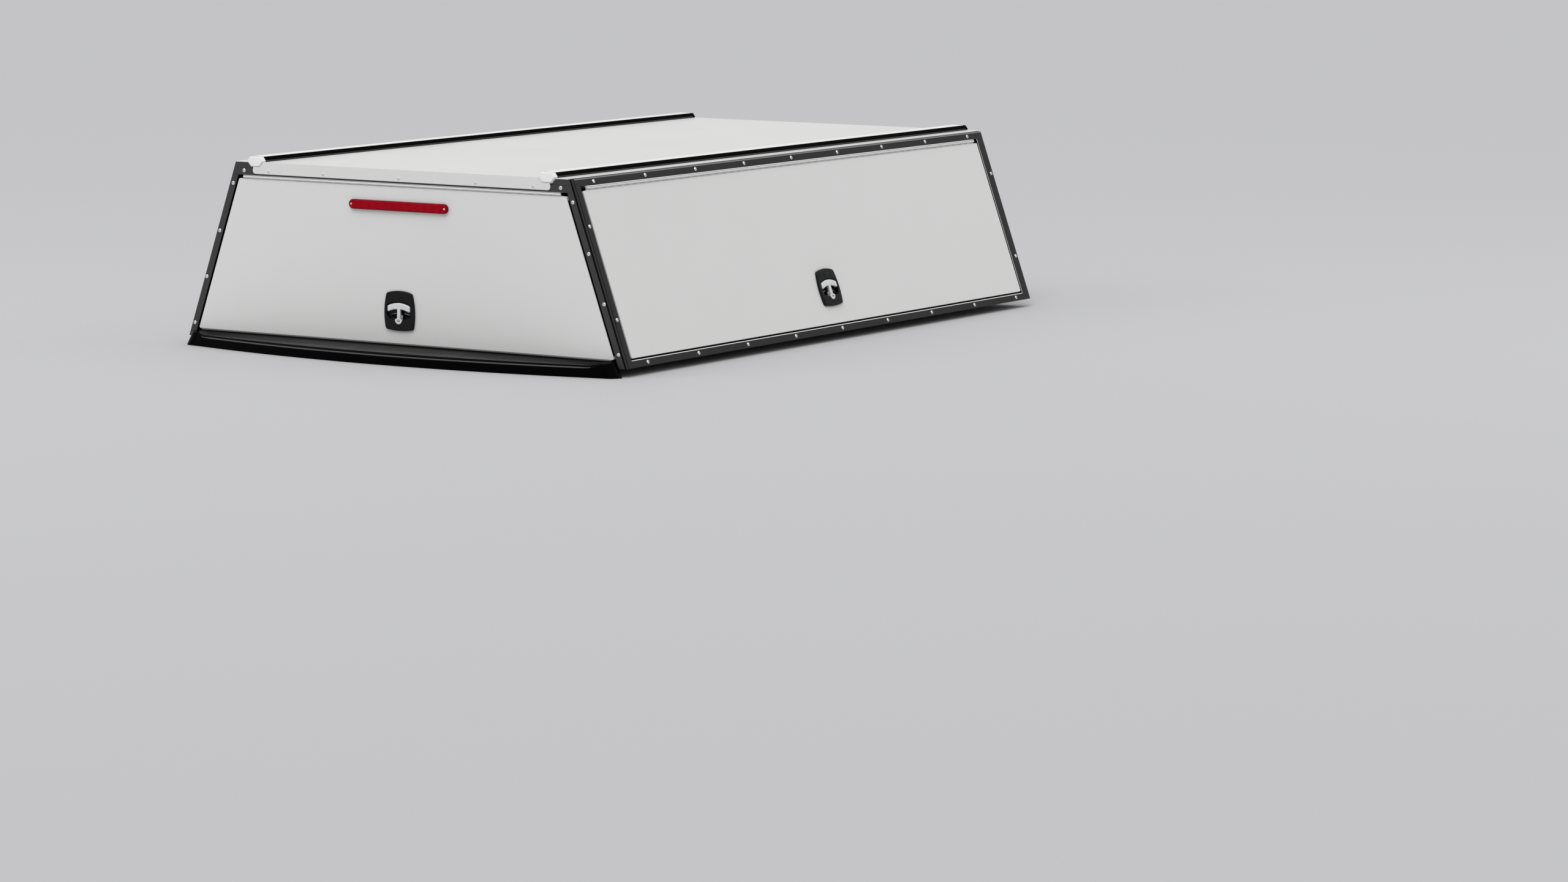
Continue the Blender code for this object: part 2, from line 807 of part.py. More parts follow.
def roof(paint, dark, white):
    top = frame_height + roof_sheet
    floor = top - rail_sunk
    valley_top = rail_half(rail_sunk) + fit_gap
    valley_foot = rail_half(0.0) + fit_gap
    upper = [
        (top_width / 2 - roof_side_margin, top),
        (rail_centre + valley_top, top),
        (rail_centre + valley_foot, floor - fit_gap),
        (rail_centre - valley_foot, floor - fit_gap),
        (rail_centre - valley_top, top),
    ]
    upper += [(-x, z) for x, z in reversed(upper)]
    drop = roof_sheet - fit_gap
    side_wall = drop / 2
    lower = [
        (top_width / 2 - roof_side_margin, top - drop),
        (rail_centre + valley_top + side_wall, top - drop),
        (rail_centre + valley_foot + side_wall, floor - fit_gap - drop),
        (rail_centre - valley_foot - side_wall, floor - fit_gap - drop),
        (rail_centre - valley_top - side_wall, top - drop),
    ]
    lower += [(-x, z) for x, z in reversed(lower)]
    section = upper + lower[::-1]
    over = roof_sheet
    ends = (rear_y - over, front_y + over)
    rings = [[Vector((x, y, base_z + z)) for x, z in section] for y in ends]
    panel = solid("roof_panel", rings, paint)

    half = rail_centre + roof_flange_past_rail
    low = top - roof_flange_drop
    under = floor - fit_gap - side_wall
    corners = [(-half, low), (half, low), (half, under), (-half, under)]
    lap = roof_flange_lap
    outline = rounded(corners, roof_flange_corner)
    outline = [Vector((p.x, p.y if p.y < under - lap else under)) for p in outline]
    for plane, label in ((rear_plane, "rear"), (front_plane, "front")):
        rings = [[plane.at(p.x, p.y, n) for p in outline] for n in (fit_gap, over)]
        low_part = solid(f"roof_{label}_flange_guide", rings, paint)
        add_to(panel, low_part)
        inner = rail_centre - valley_top - side_wall
        foot = rail_centre - valley_foot
        high = top - side_wall
        upper_part = [(-foot, under - lap), (foot, under - lap), (inner, high), (-inner, high)]
        rings = [[plane.at(x, z, n) for x, z in upper_part] for n in (fit_gap, over)]
        add_to(panel, solid(f"roof_{label}_face_guide", rings, paint))

    for side, label in ((-1, "left"), (1, "right")):
        heights = (0.0, rail_height * rail_tip_share, rail_height)
        section = [(rail_half(h), floor + h) for h in heights]
        section += [(-x, z) for x, z in reversed(section)]
        cap_out = over + rail_cap_proud
        for start, end, name, material in (
            (rear_y + rail_cap, front_y - rail_cap, f"{label}_roof_rail", dark),
            (rear_y - cap_out, rear_y + rail_cap - fit_gap, f"{label}_rail_rear_cap", white),
            (front_y - rail_cap + fit_gap, front_y + cap_out, f"{label}_rail_front_cap", white),
        ):
            rings = []
            for y in (start, end):
                rings.append([Vector((side * rail_centre + x, y, base_z + z)) for x, z in section])
            solid(name, rings, material)

    under = floor - 2 * fit_gap - drop
    for k in range(bow_count):
        y = rear_y + frame_length * (k + 1) / (bow_count + 1)
        half = bow_width / 2
        reach = rail_centre + rail_foot_width / 2
        section = [
            (-half, under),
            (half, under),
            (half, under - bow_height),
            (half - wall, under - bow_height),
            (half - wall, under - wall),
            (-half + wall, under - wall),
            (-half + wall, under - bow_height),
            (-half, under - bow_height),
        ]
        rings = [[Vector((x, y + a, base_z + z)) for a, z in section] for x in (-reach, reach)]
        solid(f"roof_bow_{k + 1}", rings, paint)


def front_panel(paint):
    """The fixed sheet that closes the cab end, set behind the front frame's webs."""
    low = wall + fit_gap
    high = header_bottom + header_face / 2
    across = face_width / math.cos(lean) / 2
    corners = [
        (-half_width(low) + across, low),
        (half_width(low) - across, low),
        (half_width(high) - across, high),
        (-half_width(high) + across, high),
    ]
    depths = (-rebate - fit_gap, -rebate - fit_gap - door_skin)
    rings = [[front_plane.at(a, b, n) for a, b in corners] for n in depths]
    solid("front_panel", rings, paint)


def build():
    clear_scene()
    dark = finish("dark_grey_paint", (0.055, 0.056, 0.058), 0.45, 0.0)
    white = finish("white_plastic", (0.85, 0.86, 0.86), 0.35, 0.0)
    paint = finish("white_paint", (0.62, 0.61, 0.61), 0.35, 0.0)
    metal = finish("anodised_hinge", (0.78, 0.78, 0.78), 0.35, 1.0)
    black = finish("black_moulding", (0.010, 0.010, 0.010), 0.25, 0.0)
    rubber = finish("seal_rubber", (0.015, 0.015, 0.015), 0.8, 0.0)
    chrome = finish("satin_chrome", (0.70, 0.71, 0.72), 0.3, 1.0)
    lens = finish("red_lens", (0.35, 0.005, 0.015), 0.15, 0.0)

    for side, name in ((-1, "left"), (1, "right")):
        side_frame(side, name, dark)
        opening = side_door(side, name, paint, metal, black, chrome)
        door_seal(name + "_door_seal", side_plane(side), opening, rubber)
    end_posts(dark)
    trim_clear = (wall + fit_gap) / math.cos(lean)
    post_clear = face_width / math.cos(lean) + fit_gap
    end_rails(rear_plane, "rear", trim_clear, sill_lip - fit_gap, dark)
    end_rails(front_plane, "front", post_clear, face_width, dark)
    end_corner_caps(rear_plane, "rear", trim_clear, dark)
    end_corner_caps(front_plane, "front", post_clear, dark)
    front_panel(paint)
    rear_door(paint, metal, black, chrome, lens)
    across = face_width / math.cos(lean)
    low, high = sill_lip, header_bottom
    opening = [
        (-half_width(low) + across, low),
        (half_width(low) - across, low),
        (half_width(high) - across, high),
        (-half_width(high) + across, high),
    ]
    door_seal("rear_door_seal", rear_plane, opening, rubber)
    sill_moulding(black)
    roof(paint, dark, white)


build()
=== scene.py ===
import math
import random

import bmesh
import bpy
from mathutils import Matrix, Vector
from mathutils.geometry import tessellate_polygon


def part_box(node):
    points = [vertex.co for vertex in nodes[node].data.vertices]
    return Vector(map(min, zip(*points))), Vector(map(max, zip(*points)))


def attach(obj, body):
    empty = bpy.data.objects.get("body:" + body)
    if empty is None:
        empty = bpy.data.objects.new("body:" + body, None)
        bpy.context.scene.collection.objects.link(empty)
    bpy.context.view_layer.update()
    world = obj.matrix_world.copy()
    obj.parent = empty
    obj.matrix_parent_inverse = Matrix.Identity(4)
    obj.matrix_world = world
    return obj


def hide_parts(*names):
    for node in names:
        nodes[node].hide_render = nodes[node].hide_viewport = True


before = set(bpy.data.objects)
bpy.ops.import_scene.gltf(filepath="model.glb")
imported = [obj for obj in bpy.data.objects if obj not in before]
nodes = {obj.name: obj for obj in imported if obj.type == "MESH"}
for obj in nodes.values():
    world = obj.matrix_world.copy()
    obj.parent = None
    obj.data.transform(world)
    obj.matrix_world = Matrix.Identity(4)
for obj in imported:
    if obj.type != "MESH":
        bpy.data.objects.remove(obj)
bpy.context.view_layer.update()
mm = 0.001
shell = "canopy_shell"
random.seed(12)
print("frame loaded:", len(nodes), "nodes")


# The canopy's planes, measured on the frame that was just loaded

frameSize = {
    "baseWidth": 1741,  # over the long sides, at the bed rails
    "topWidth": 1329,
    "height": 577,
    "length": 2478,
    "faceWidth": 25,  # of every frame member, seen square on
    "cornerWidth": 18,  # of the trim on each rear corner
    "headerHeight": 41,
}

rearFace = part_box("rear_left_post")[0].y
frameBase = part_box("rear_left_post")[0].z
frontFace = rearFace + frameSize["length"] * mm
lean = math.atan2((frameSize["baseWidth"] - frameSize["topWidth"]) / 2, frameSize["height"])
slant = frameSize["height"] / math.cos(lean)


def halfWidth(z):  # of the frame at a height over its base, all in mm
    return frameSize["baseWidth"] / 2 - z * math.tan(lean)


def sidePoint(side, u, v, n):  # u forward, v up the slope, n out of the face, in mm
    x = frameSize["baseWidth"] / 2 - v * math.sin(lean) + n * math.cos(lean)
    z = v * math.cos(lean) + n * math.sin(lean)
    return Vector((side * x * mm, rearFace + u * mm, frameBase + z * mm))


def rearPoint(x, z, n):
    return Vector((x * mm, rearFace - n * mm, frameBase + z * mm))


def frontPoint(x, z, n):
    return Vector((x * mm, frontFace + n * mm, frameBase + z * mm))


# Small helpers for meshes

def loft(shape, rings, closeStart=True, closeEnd=True):
    rows = [[shape.verts.new(point) for point in ring] for ring in rings]
    for low, high in zip(rows, rows[1:]):
        for i in range(len(low)):
            j = (i + 1) % len(low)
            shape.faces.new((low[i], low[j], high[j], high[i]))
    if closeStart:
        shape.faces.new(rows[0][::-1])
    if closeEnd:
        shape.faces.new(rows[-1])
    return rows


def addObject(name, data):
    item = bpy.data.objects.new(name, data)
    bpy.context.scene.collection.objects.link(item)
    return item


def makePiece(name, shape, finish, body, slotName, stands=(), creaseAngle=32):
    bmesh.ops.recalc_face_normals(shape, faces=shape.faces)
    mesh = bpy.data.meshes.new(name)
    shape.to_mesh(mesh)
    shape.free()
    mesh.shade_smooth()
    mesh.set_sharp_from_angle(angle=math.radians(creaseAngle))
    mesh.materials.append(finishes[finish])
    piece = addObject(name, mesh)
    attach(piece, body)
    if stands:
        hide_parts(*stands)
    return piece


def loftPiece(name, rings, *details):
    shape = bmesh.new()
    loft(shape, rings)
    return makePiece(name, shape, *details)


def filletPath(corners, steps=4, closed=False):  # corners are (x, y, radius)
    path = []
    count = len(corners)
    for i, (x, y, radius) in enumerate(corners):
        here = Vector((x, y))
        ends = not closed and i in (0, count - 1)
        if radius == 0 or ends:
            path.append(here)
            continue
        back = Vector(corners[i - 1][:2]) - here
        ahead = Vector(corners[(i + 1) % count][:2]) - here
        half = back.angle(ahead) / 2
        reach = min(radius / math.tan(half), 0.49 * back.length, 0.49 * ahead.length)
        start, end = here + back.normalized() * reach, here + ahead.normalized() * reach
        for k in range(steps + 1):
            t = k / steps
            path.append(start * (1 - t) ** 2 + here * 2 * t * (1 - t) + end * t * t)
    return path


def offsetOutline(outline, distance):  # inwards for a positive distance, outline runs counterclockwise
    moved = []
    count = len(outline)
    for i, point in enumerate(outline):
        run = Vector(outline[(i + 1) % count]) - Vector(outline[i - 1])
        inward = Vector((-run.y, run.x)).normalized()
        moved.append(Vector(point) + inward * distance)
    return moved


def quarterRound(size, steps=5):  # (in, down) from the outer wall over to the flat
    turns = [math.pi / 2 * k / steps for k in range(steps + 1)]
    return [(size * (1 - math.cos(turn)), size * (1 - math.sin(turn))) for turn in turns]


def softenEdges(node, width, steps, sharpFrom=30):
    weld = node.modifiers.new("join split corners", "WELD")
    weld.merge_threshold = 0.01 * mm
    flat = node.modifiers.new("clear flat faces", "DECIMATE")
    flat.decimate_type = "DISSOLVE"
    flat.angle_limit = math.radians(0.4)
    bevel = node.modifiers.new("soft edges", "BEVEL")
    bevel.width = width * mm
    bevel.segments = steps
    bevel.limit_method = "ANGLE"
    bevel.angle_limit = math.radians(sharpFrom)
    smooth = node.modifiers.new("smooth faces", "NODES")
    smooth.node_group = bpy.data.node_groups["smoothFaces"]
    even = node.modifiers.new("even shading", "WEIGHTED_NORMAL")
    even.keep_sharp = False


# Materials

def linear(hexCode):  # sRGB hex to the linear colour that a shader takes
    values = [int(hexCode[i:i + 2], 16) / 255 for i in (1, 3, 5)]
    return (*[c / 12.92 if c <= 0.04045 else ((c + 0.055) / 1.055) ** 2.4 for c in values], 1.0)


def addNode(tree, kind, settings, inputs):
    node = tree.nodes.new(kind)
    for name, value in settings.items():
        setattr(node, name, value)
    for name, value in inputs.items():
        if isinstance(value, bpy.types.NodeSocket):
            tree.links.new(value, node.inputs[name])
        else:
            node.inputs[name].default_value = value
    return node


def startMaterial(name, look):
    material = bpy.data.materials.new(name)
    material.use_nodes = True
    tree = material.node_tree
    shader = tree.nodes["Principled BSDF"]
    for socket, value in look["shader"].items():
        shader.inputs[socket].default_value = value
    return material, tree, shader


def coatedFinish(name, look):  # two shades in soft clouds, an uneven gloss and a fine relief
    material, tree, shader = startMaterial(name, look)
    place = addNode(tree, "ShaderNodeTexCoord", {}, {}).outputs["Object"]
    broad = addNode(tree, "ShaderNodeTexNoise", {}, {
        "Vector": place, "Scale": 1000 / look["cloudMm"], "Detail": 3.0, "Roughness": 0.55})
    tone = addNode(tree, "ShaderNodeMix", {"data_type": "RGBA"}, {
        0: broad.outputs["Fac"], 6: linear(look["colour"]), 7: linear(look["shade"])})
    tree.links.new(tone.outputs[2], shader.inputs["Base Color"])
    if "drawn" in look:  # stretches the relief into lines
        stretched = addNode(tree, "ShaderNodeMapping", {}, {"Vector": place, "Scale": look["drawn"]})
        place = stretched.outputs["Vector"]
    fine = addNode(tree, "ShaderNodeTexNoise", {}, {
        "Vector": place, "Scale": 1000 / look["grainMm"], "Detail": 2.0, "Roughness": 0.5})
    low, high = look["gloss"]
    rough = addNode(tree, "ShaderNodeMapRange", {}, {
        "Value": broad.outputs["Fac"], "From Min": 0.3, "From Max": 0.7, "To Min": low, "To Max": high})
    tree.links.new(rough.outputs["Result"], shader.inputs["Roughness"])
    relief = addNode(tree, "ShaderNodeBump", {}, {
        "Height": fine.outputs["Fac"], "Distance": look["reliefMm"] * mm, "Strength": 1.0})
    tree.links.new(relief.outputs["Normal"], shader.inputs["Normal"])
    return material


def powderCoatedSheet():
    # Aluminium sheet under a baked white polyester powder: satin, with a very faint orange peel.
    # The peel is about 2 mm across, drawn at 6 mm so that it shows from the camera.
    return coatedFinish("whitePowderCoatedAluminium", {
        "colour": "#E2E2E1", "shade": "#DEDEDD", "cloudMm": 420, "grainMm": 6, "reliefMm": 0.010,
        "gloss": (0.30, 0.38), "shader": {"IOR": 1.5, "Metallic": 0.0, "Specular IOR Level": 0.25}})


def powderCoatedFrame(name, colour, shade):
    # Extruded aluminium under a charcoal powder: close to black, with a dry, slightly sandy face.
    # The sand is under 1 mm, drawn at 3 mm.
    return coatedFinish(name, {
        "colour": colour, "shade": shade, "cloudMm": 160, "grainMm": 3, "reliefMm": 0.012,
        "gloss": (0.40, 0.50), "shader": {"IOR": 1.5, "Metallic": 0.0, "Specular IOR Level": 0.30}})


def blackAnodisedRail():
    # Extruded roof rail, anodised black: deeper than the frame, with drawing lines along its length.
    return coatedFinish("blackAnodisedExtrusion", {
        "colour": "#040404", "shade": "#030303", "cloudMm": 120, "grainMm": 2, "reliefMm": 0.006,
        "drawn": (1.0, 0.01, 1.0), "gloss": (0.42, 0.52),
        "shader": {"IOR": 1.5, "Metallic": 0.0, "Specular IOR Level": 0.01}})


def clearAnodisedAluminium():
    # Rolled hinge strip, clear anodised: pale, almost white metal with fine lines along it.
    # The lines are finer than 0.1 mm, drawn at 1.2 mm.
    return coatedFinish("clearAnodisedAluminium", {
        "colour": "#E2E2E2", "shade": "#DADADA", "cloudMm": 60, "grainMm": 1.2, "reliefMm": 0.004,
        "drawn": (0.02, 0.02, 1.0), "gloss": (0.40, 0.50), "shader": {"Metallic": 0.35}})


def mouldedAbs():
    # Injection moulded ABS with a polished face: deep black, with a slow swim in its reflections.
    return coatedFinish("glossMouldedAbs", {
        "colour": "#020202", "shade": "#030303", "cloudMm": 90, "grainMm": 70, "reliefMm": 0.10,
        "gloss": (0.20, 0.28), "shader": {"IOR": 1.53, "Metallic": 0.0, "Specular IOR Level": 0.025}})


def sillEdgeHighlightGrey():
    # Dark grey strip on the moulding's rolled outer edge, so that the edge shows as a fine line: painted
    # highlight.
    return coatedFinish("darkGreyPaintedHighlight", {
        "colour": "#484848", "shade": "#424242", "cloudMm": 60, "grainMm": 3, "reliefMm": 0.01,
        "gloss": (0.45, 0.55), "shader": {"IOR": 1.5, "Metallic": 0.0, "Specular IOR Level": 0.30}})


def lacqueredNylon():
    # Moulded glass filled nylon under a thin clear lacquer: black, with sharp lines on its edges.
    # Its grain is about 0.3 mm, drawn at 1.2 mm.
    return coatedFinish("grainedMouldedNylon", {
        "colour": "#0C0C0D", "shade": "#0A0A0B", "cloudMm": 40, "grainMm": 1.2, "reliefMm": 0.010,
        "gloss": (0.28, 0.36), "shader": {"IOR": 1.53, "Metallic": 0.0, "Specular IOR Level": 0.06,
                                          "Coat Weight": 0.3, "Coat Roughness": 0.06}})


def satinChrome():
    # Die cast zinc, tumbled and satin chromed: cool silver, soft reflections, faint casting ripple.
    return coatedFinish("satinChromedZinc", {
        "colour": "#EEEFF0", "shade": "#E6E7E8", "cloudMm": 14, "grainMm": 3, "reliefMm": 0.012,
        "gloss": (0.34, 0.42), "shader": {"Metallic": 0.5}})


def stainlessSteel():
    # Cold headed stainless steel: bright heads with a slightly turned look.
    return coatedFinish("coldHeadedStainlessSteel", {
        "colour": "#ECEDEE", "shade": "#DEDFE0", "cloudMm": 6, "grainMm": 1.0, "reliefMm": 0.008,
        "gloss": (0.18, 0.28), "shader": {"Metallic": 1.0}})


def extrudedRubber():
    # Extruded EPDM: dull black with a dusty bloom.
    return coatedFinish("extrudedEpdmRubber", {
        "colour": "#030303", "shade": "#050505", "cloudMm": 30, "grainMm": 2.5, "reliefMm": 0.03,
        "gloss": (0.72, 0.88), "shader": {"IOR": 1.5, "Metallic": 0.0, "Specular IOR Level": 0.05}})


def greyPaintedEdgeLight():
    # Mid grey with a dull face, paler than the seals: painted highlight on the sill's lip under the rear
    # door, and painted light and shade on the side frames' top edges.
    return coatedFinish("greyPaintedEdgeLightStrip", {
        "colour": "#8C8C8C", "shade": "#848484", "cloudMm": 30, "grainMm": 2.5, "reliefMm": 0.03,
        "gloss": (0.60, 0.75), "shader": {"IOR": 1.5, "Metallic": 0.0, "Specular IOR Level": 0.20}})


def mouldedAsa():
    # Moulded white ASA: whiter than the paint beside it, with a soft plastic sheen.
    return coatedFinish("whiteMouldedAsa", {
        "colour": "#F4F4F3", "shade": "#EFEFEE", "cloudMm": 50, "grainMm": 3, "reliefMm": 0.010,
        "gloss": (0.34, 0.42), "shader": {"IOR": 1.5, "Metallic": 0.0}})


waveBands = 20  # the wave texture draws this many bands in each metre at a scale of 1


def redAcrylic(name, colour, shade):
    # Moulded red acrylic: deep red and glossy, over upright flutes that shade it in faint bands.
    look = {"colour": colour, "shade": shade, "fluteMm": 5, "fluteShare": 0.22,
            "shader": {"IOR": 1.49, "Metallic": 0.0, "Roughness": 0.14, "Specular IOR Level": 0.05,
                       "Coat Weight": 0.05, "Coat Roughness": 0.05}}
    material, tree, shader = startMaterial(name, look)
    place = addNode(tree, "ShaderNodeTexCoord", {}, {}).outputs["Object"]
    flutes = addNode(tree, "ShaderNodeTexWave", {"bands_direction": "X", "wave_profile": "SIN"}, {
        "Vector": place, "Scale": 1000 / look["fluteMm"] / waveBands, "Distortion": 0.0})
    band = addNode(tree, "ShaderNodeMapRange", {}, {
        "Value": flutes.outputs["Fac"], "To Min": 0.0, "To Max": look["fluteShare"]})
    striped = addNode(tree, "ShaderNodeMix", {"data_type": "RGBA"}, {
        0: band.outputs["Result"], 6: linear(look["colour"]), 7: linear(look["shade"])})
    tree.links.new(striped.outputs[2], shader.inputs["Base Color"])
    return material


def smoothFacesGroup():
    group = bpy.data.node_groups.new("smoothFaces", "GeometryNodeTree")
    group.interface.new_socket("Geometry", in_out="INPUT", socket_type="NodeSocketGeometry")
    group.interface.new_socket("Geometry", in_out="OUTPUT", socket_type="NodeSocketGeometry")
    entry = addNode(group, "NodeGroupInput", {}, {})
    smooth = addNode(group, "GeometryNodeSetShadeSmooth", {}, {"Geometry": entry.outputs[0]})
    addNode(group, "NodeGroupOutput", {}, {0: smooth.outputs[0]})


smoothFacesGroup()
finishes = {
    "sheet": powderCoatedSheet(),
    "frame": powderCoatedFrame("charcoalPowderCoatedExtrusion", "#1D1D1D", "#1A1A1A"),
    "endFrame": powderCoatedFrame("charcoalPowderCoatedExtrusionPaintedLight", "#3B3B3C", "#373738"),  # a paler copy of the same charcoal powder: painted light, the rear members lit more than the sides
    "rail": blackAnodisedRail(),
    "hinge": clearAnodisedAluminium(),
    "sill": mouldedAbs(),
    "sillEdgeHighlight": sillEdgeHighlightGrey(),
    "lock": lacqueredNylon(),
    "chrome": satinChrome(),
    "screw": stainlessSteel(),
    "rubber": extrudedRubber(),
    "greyPaintedEdgeLight": greyPaintedEdgeLight(),
    "cap": mouldedAsa(),
    "lens": redAcrylic("redMouldedAcrylic", "#A00017", "#6C000E"),
    "lensShadedRim": redAcrylic("redAcrylicPaintedShadeRim", "#74000F", "#5A000B"),  # darker copy on the faces that turn away from the rear: painted shade
}
print("materials made")


# Finishes and soft edges for the CAD nodes that stay

carriedOver = {  # (finish, edge round in mm): words in the nodes' names, of which the longest counts
    ("frame", 0.7): ("base_rail", "top_rail", "header", "post"),
    ("frame", 0.25): ("corner_trim",),
    ("frame", 0.5): ("front_left_corner_cap", "front_right_corner_cap"),
    # The rear members take the paler copy of the charcoal powder: painted light.
    ("endFrame", 0.5): ("rear_left_corner_cap", "rear_right_corner_cap"),
    ("endFrame", 0.7): ("rear_left_post", "rear_right_post", "rear_header"),
    ("rubber", 0.8): ("left_door_seal", "right_door_seal", "rear_door_seal"),
    ("rail", 0.8): ("roof_rail",),
    ("cap", 1.8): ("rail_rear_cap",),
    ("rail", 1.8): ("rail_front_cap",),  # the front ends show dark, the rear ones white
    ("sheet", 0.7): ("roof_panel",),
    ("sheet", 0.6): ("roof_bow",),
    ("sheet", 0.5): ("front_panel",),
    ("sheet", 0.9): ("left_door", "right_door", "rear_door"),
}


def dressCadNodes():
    lookFor = {word: look for look, words in carriedOver.items() for word in words}
    for name, node in nodes.items():
        words = [word for word in lookFor if word in name]
        if not words:
            continue
        finish, width = lookFor[max(words, key=len)]
        node.data.materials.clear()
        node.data.materials.append(finishes[finish])
        softenEdges(node, width, 3 if width > 1 else 2)


dressCadNodes()
print("frame, roof and doors dressed")


# Rear sill moulding: a lip against the door, a bowed shelf and a rolled edge over the fascia

sill = {
    "reach": 138, "endReach": 46, "drop": 27, "lip": 20, "wall": 4, "halfSpan": 851, "corner": 40,
    "creaseLevel": 11, "creaseEndLevel": 19.6, "shelfShare": 0.90, "edgeDrop": 3,
    "riseStart": 50, "riseLength": 70, "edgeRound": 5, "stations": 96, "cornerStations": 16,
    "endFlare": (-16, 11),  # how far each end leans out, at its top and at its foot
    "bead": ((0.9, 0.9), (3.4, 0.7), (5.0, -0.8)),  # (out, up) of the small bead along the lip
    "beadShares": (0.3, 0.4),  # the most that it takes of the reach
    "dip": (0.42, 0.16),  # shares of the reach and of the lip's rise over the crease
    "fit": 0.3, "skin": 2.4, "fascia": 3.2, "footWidth": 2.6, "lastTurn": 86, "sweepRound": 40,
    "foldRound": 1.0, "bendRound": 0.5, "footRound": 0.8, "creaseRound": 2.0,
}
# Shape of the painted highlight strip along the moulding's outer edge.
sillEdgeHighlight = {"halfSpan": 776, "stations": 160, "upSlope": 4.6, "halfHeight": 2.5, "halfThick": 1.1,
            "taper": 60, "sides": 12}


def sillLevels(x):  # how far it reaches out, the share it has risen, and the levels of edge and crease
    straight = sill["halfSpan"] - sill["corner"]
    if abs(x) <= straight:
        depth = sill["reach"] - (sill["reach"] - sill["endReach"]) * (x / straight) ** 2
    else:
        rest = min((abs(x) - straight) / sill["corner"], 1.0)
        depth = sill["endReach"] - sill["corner"] * (1 - math.sqrt(1 - rest * rest))
    ease = min(max((abs(x) - straight + sill["riseStart"]) / sill["riseLength"], 0.0), 1.0)
    rise = ease * ease * (3 - 2 * ease)
    edge = rise * (sill["lip"] - sill["edgeDrop"])
    crease = sill["creaseLevel"] + rise * (sill["creaseEndLevel"] - sill["creaseLevel"])
    return depth, rise, edge, crease


def sillSection(x):
    depth, rise, edge, crease = sillLevels(x)
    shelf, outer, foot = depth * sill["shelfShare"], depth - sill["fit"], -sill["drop"]
    lip, wall, skin = sill["lip"], sill["wall"], sill["skin"]
    fold, bend = sill["foldRound"], sill["bendRound"]
    first, second, third = sill["bead"]
    near, far = [share * depth for share in sill["beadShares"]]
    out, up = sill["dip"]
    corners = [  # (out, up, radius), over the top and back underneath
        (sill["fit"], lip, 0),
        (first[0], lip + first[1], bend),
        (min(second[0], near), lip + second[1], sill["footRound"]),
        (min(third[0], far), lip + third[1], fold),
        (out * depth, crease + up * (lip - crease), sill["sweepRound"]),
        (shelf, crease, sill["creaseRound"]),
        (depth, edge, sill["edgeRound"]),
        (outer, foot, sill["footRound"]),
        (outer - sill["footWidth"], foot, bend),
        (depth - sill["fascia"], edge - wall - fold, fold),
        (shelf - sill["creaseRound"], crease - wall, fold),
        (skin, lip - wall, bend),
        (skin, 0.0, 0),
        (sill["fit"], 0.0, 0),
    ]
    topLean, footLean = sill["endFlare"]
    end = 1 if x > 0 else -1
    points = []
    for n, z in filletPath(corners, steps=5):
        share = (lip - z) / (lip - foot)
        points.append(rearPoint(x + end * rise * (topLean + (footLean - topLean) * share), z, n))
    return points


def buildSill():
    straight = sill["halfSpan"] - sill["corner"]
    spots = [straight * (2 * k / sill["stations"] - 1) for k in range(sill["stations"] + 1)]
    for k in range(1, sill["cornerStations"]):
        turn = math.radians(sill["lastTurn"] * k / (sill["cornerStations"] - 1))
        reach = straight + sill["corner"] * math.sin(turn)
        spots = [-reach] + spots + [reach]
    loftPiece("sill_moulding_skin", [sillSection(x) for x in spots], "sill", shell, "sill_plastic",
              ["rear_sill_moulding"], 40)


def buildSillEdge():  # a dark grey strip along the slope, just above the moulding's outer edge: painted highlight
    rings = []
    for k in range(sillEdgeHighlight["stations"] + 1):
        x = sillEdgeHighlight["halfSpan"] * (2 * k / sillEdgeHighlight["stations"] - 1)
        depth, _, edge, crease = sillLevels(x)
        down = Vector((depth * (1 - sill["shelfShare"]), edge - crease)).normalized()
        out = Vector((-down.y, down.x))
        middle = Vector((depth, edge)) - down * sillEdgeHighlight["upSlope"]
        full = min(1.0, 0.1 + (sillEdgeHighlight["halfSpan"] - abs(x)) / sillEdgeHighlight["taper"]) ** 0.5
        ring = []
        for t in range(sillEdgeHighlight["sides"]):
            angle = math.tau * t / sillEdgeHighlight["sides"]
            along = down * sillEdgeHighlight["halfHeight"] * math.cos(angle)
            spot = middle + (along + out * sillEdgeHighlight["halfThick"] * math.sin(angle)) * full
            ring.append(rearPoint(x, spot.y, spot.x))
        rings.append(ring)
    loftPiece("sill_edge_highlight", rings, "sillEdgeHighlight", shell, "sill_plastic")


buildSill()
buildSillEdge()
print("sill moulding made")


# Piano hinges: rolled knuckles of the frame leaf and the door leaf in turn, on one pin

hinge = {
    "knuckle": 21, "knuckleGap": 0.15, "radius": 3.5, "leaf": 1.2, "depth": 18, "barrelOut": 1.0,
    "pinRadius": 1.3, "pinProud": 1.0, "pinSides": 12, "fitGap": 0.4, "steps": 18, "endInset": 20,
    "sideSpace": 14.5, "rearSpace": 12, "sideGap": 6, "rearGap": 8,
    "seatGap": 0.3, "stripOut": 3.6, "stripLap": 1.3, "stripLift": 0.1, "stripNose": 0.7, "stripSlope": 0.2,
    "lipRise": 0.6, "lipBack": 0.1, "lipThick": 0.5, "lipBite": 0.2,  # of a low lip behind the knuckles
}


def prism(shape, at, section, start, end):  # at takes (along, up, out), a section holds (out, up)
    loft(shape, [[at(a, b, n) for n, b in section] for a in (start, end)])


def knuckleSection(middle, leafEnd, turn):  # a barrel with a short leaf, up for turn 1 and down for -1
    radius, back = hinge["radius"], hinge["barrelOut"] - hinge["radius"]
    meet = math.pi - math.acos((radius - hinge["leaf"]) / radius)
    sweep = math.pi + meet
    points = []
    for k in range(hinge["steps"] + 1):
        angle = math.pi + sweep * k / hinge["steps"]
        out, up = radius * math.cos(angle), turn * radius * math.sin(angle)
        points.append((hinge["barrelOut"] + out, middle + up))
    return points + [(back + hinge["leaf"], leafEnd), (back, leafEnd)]


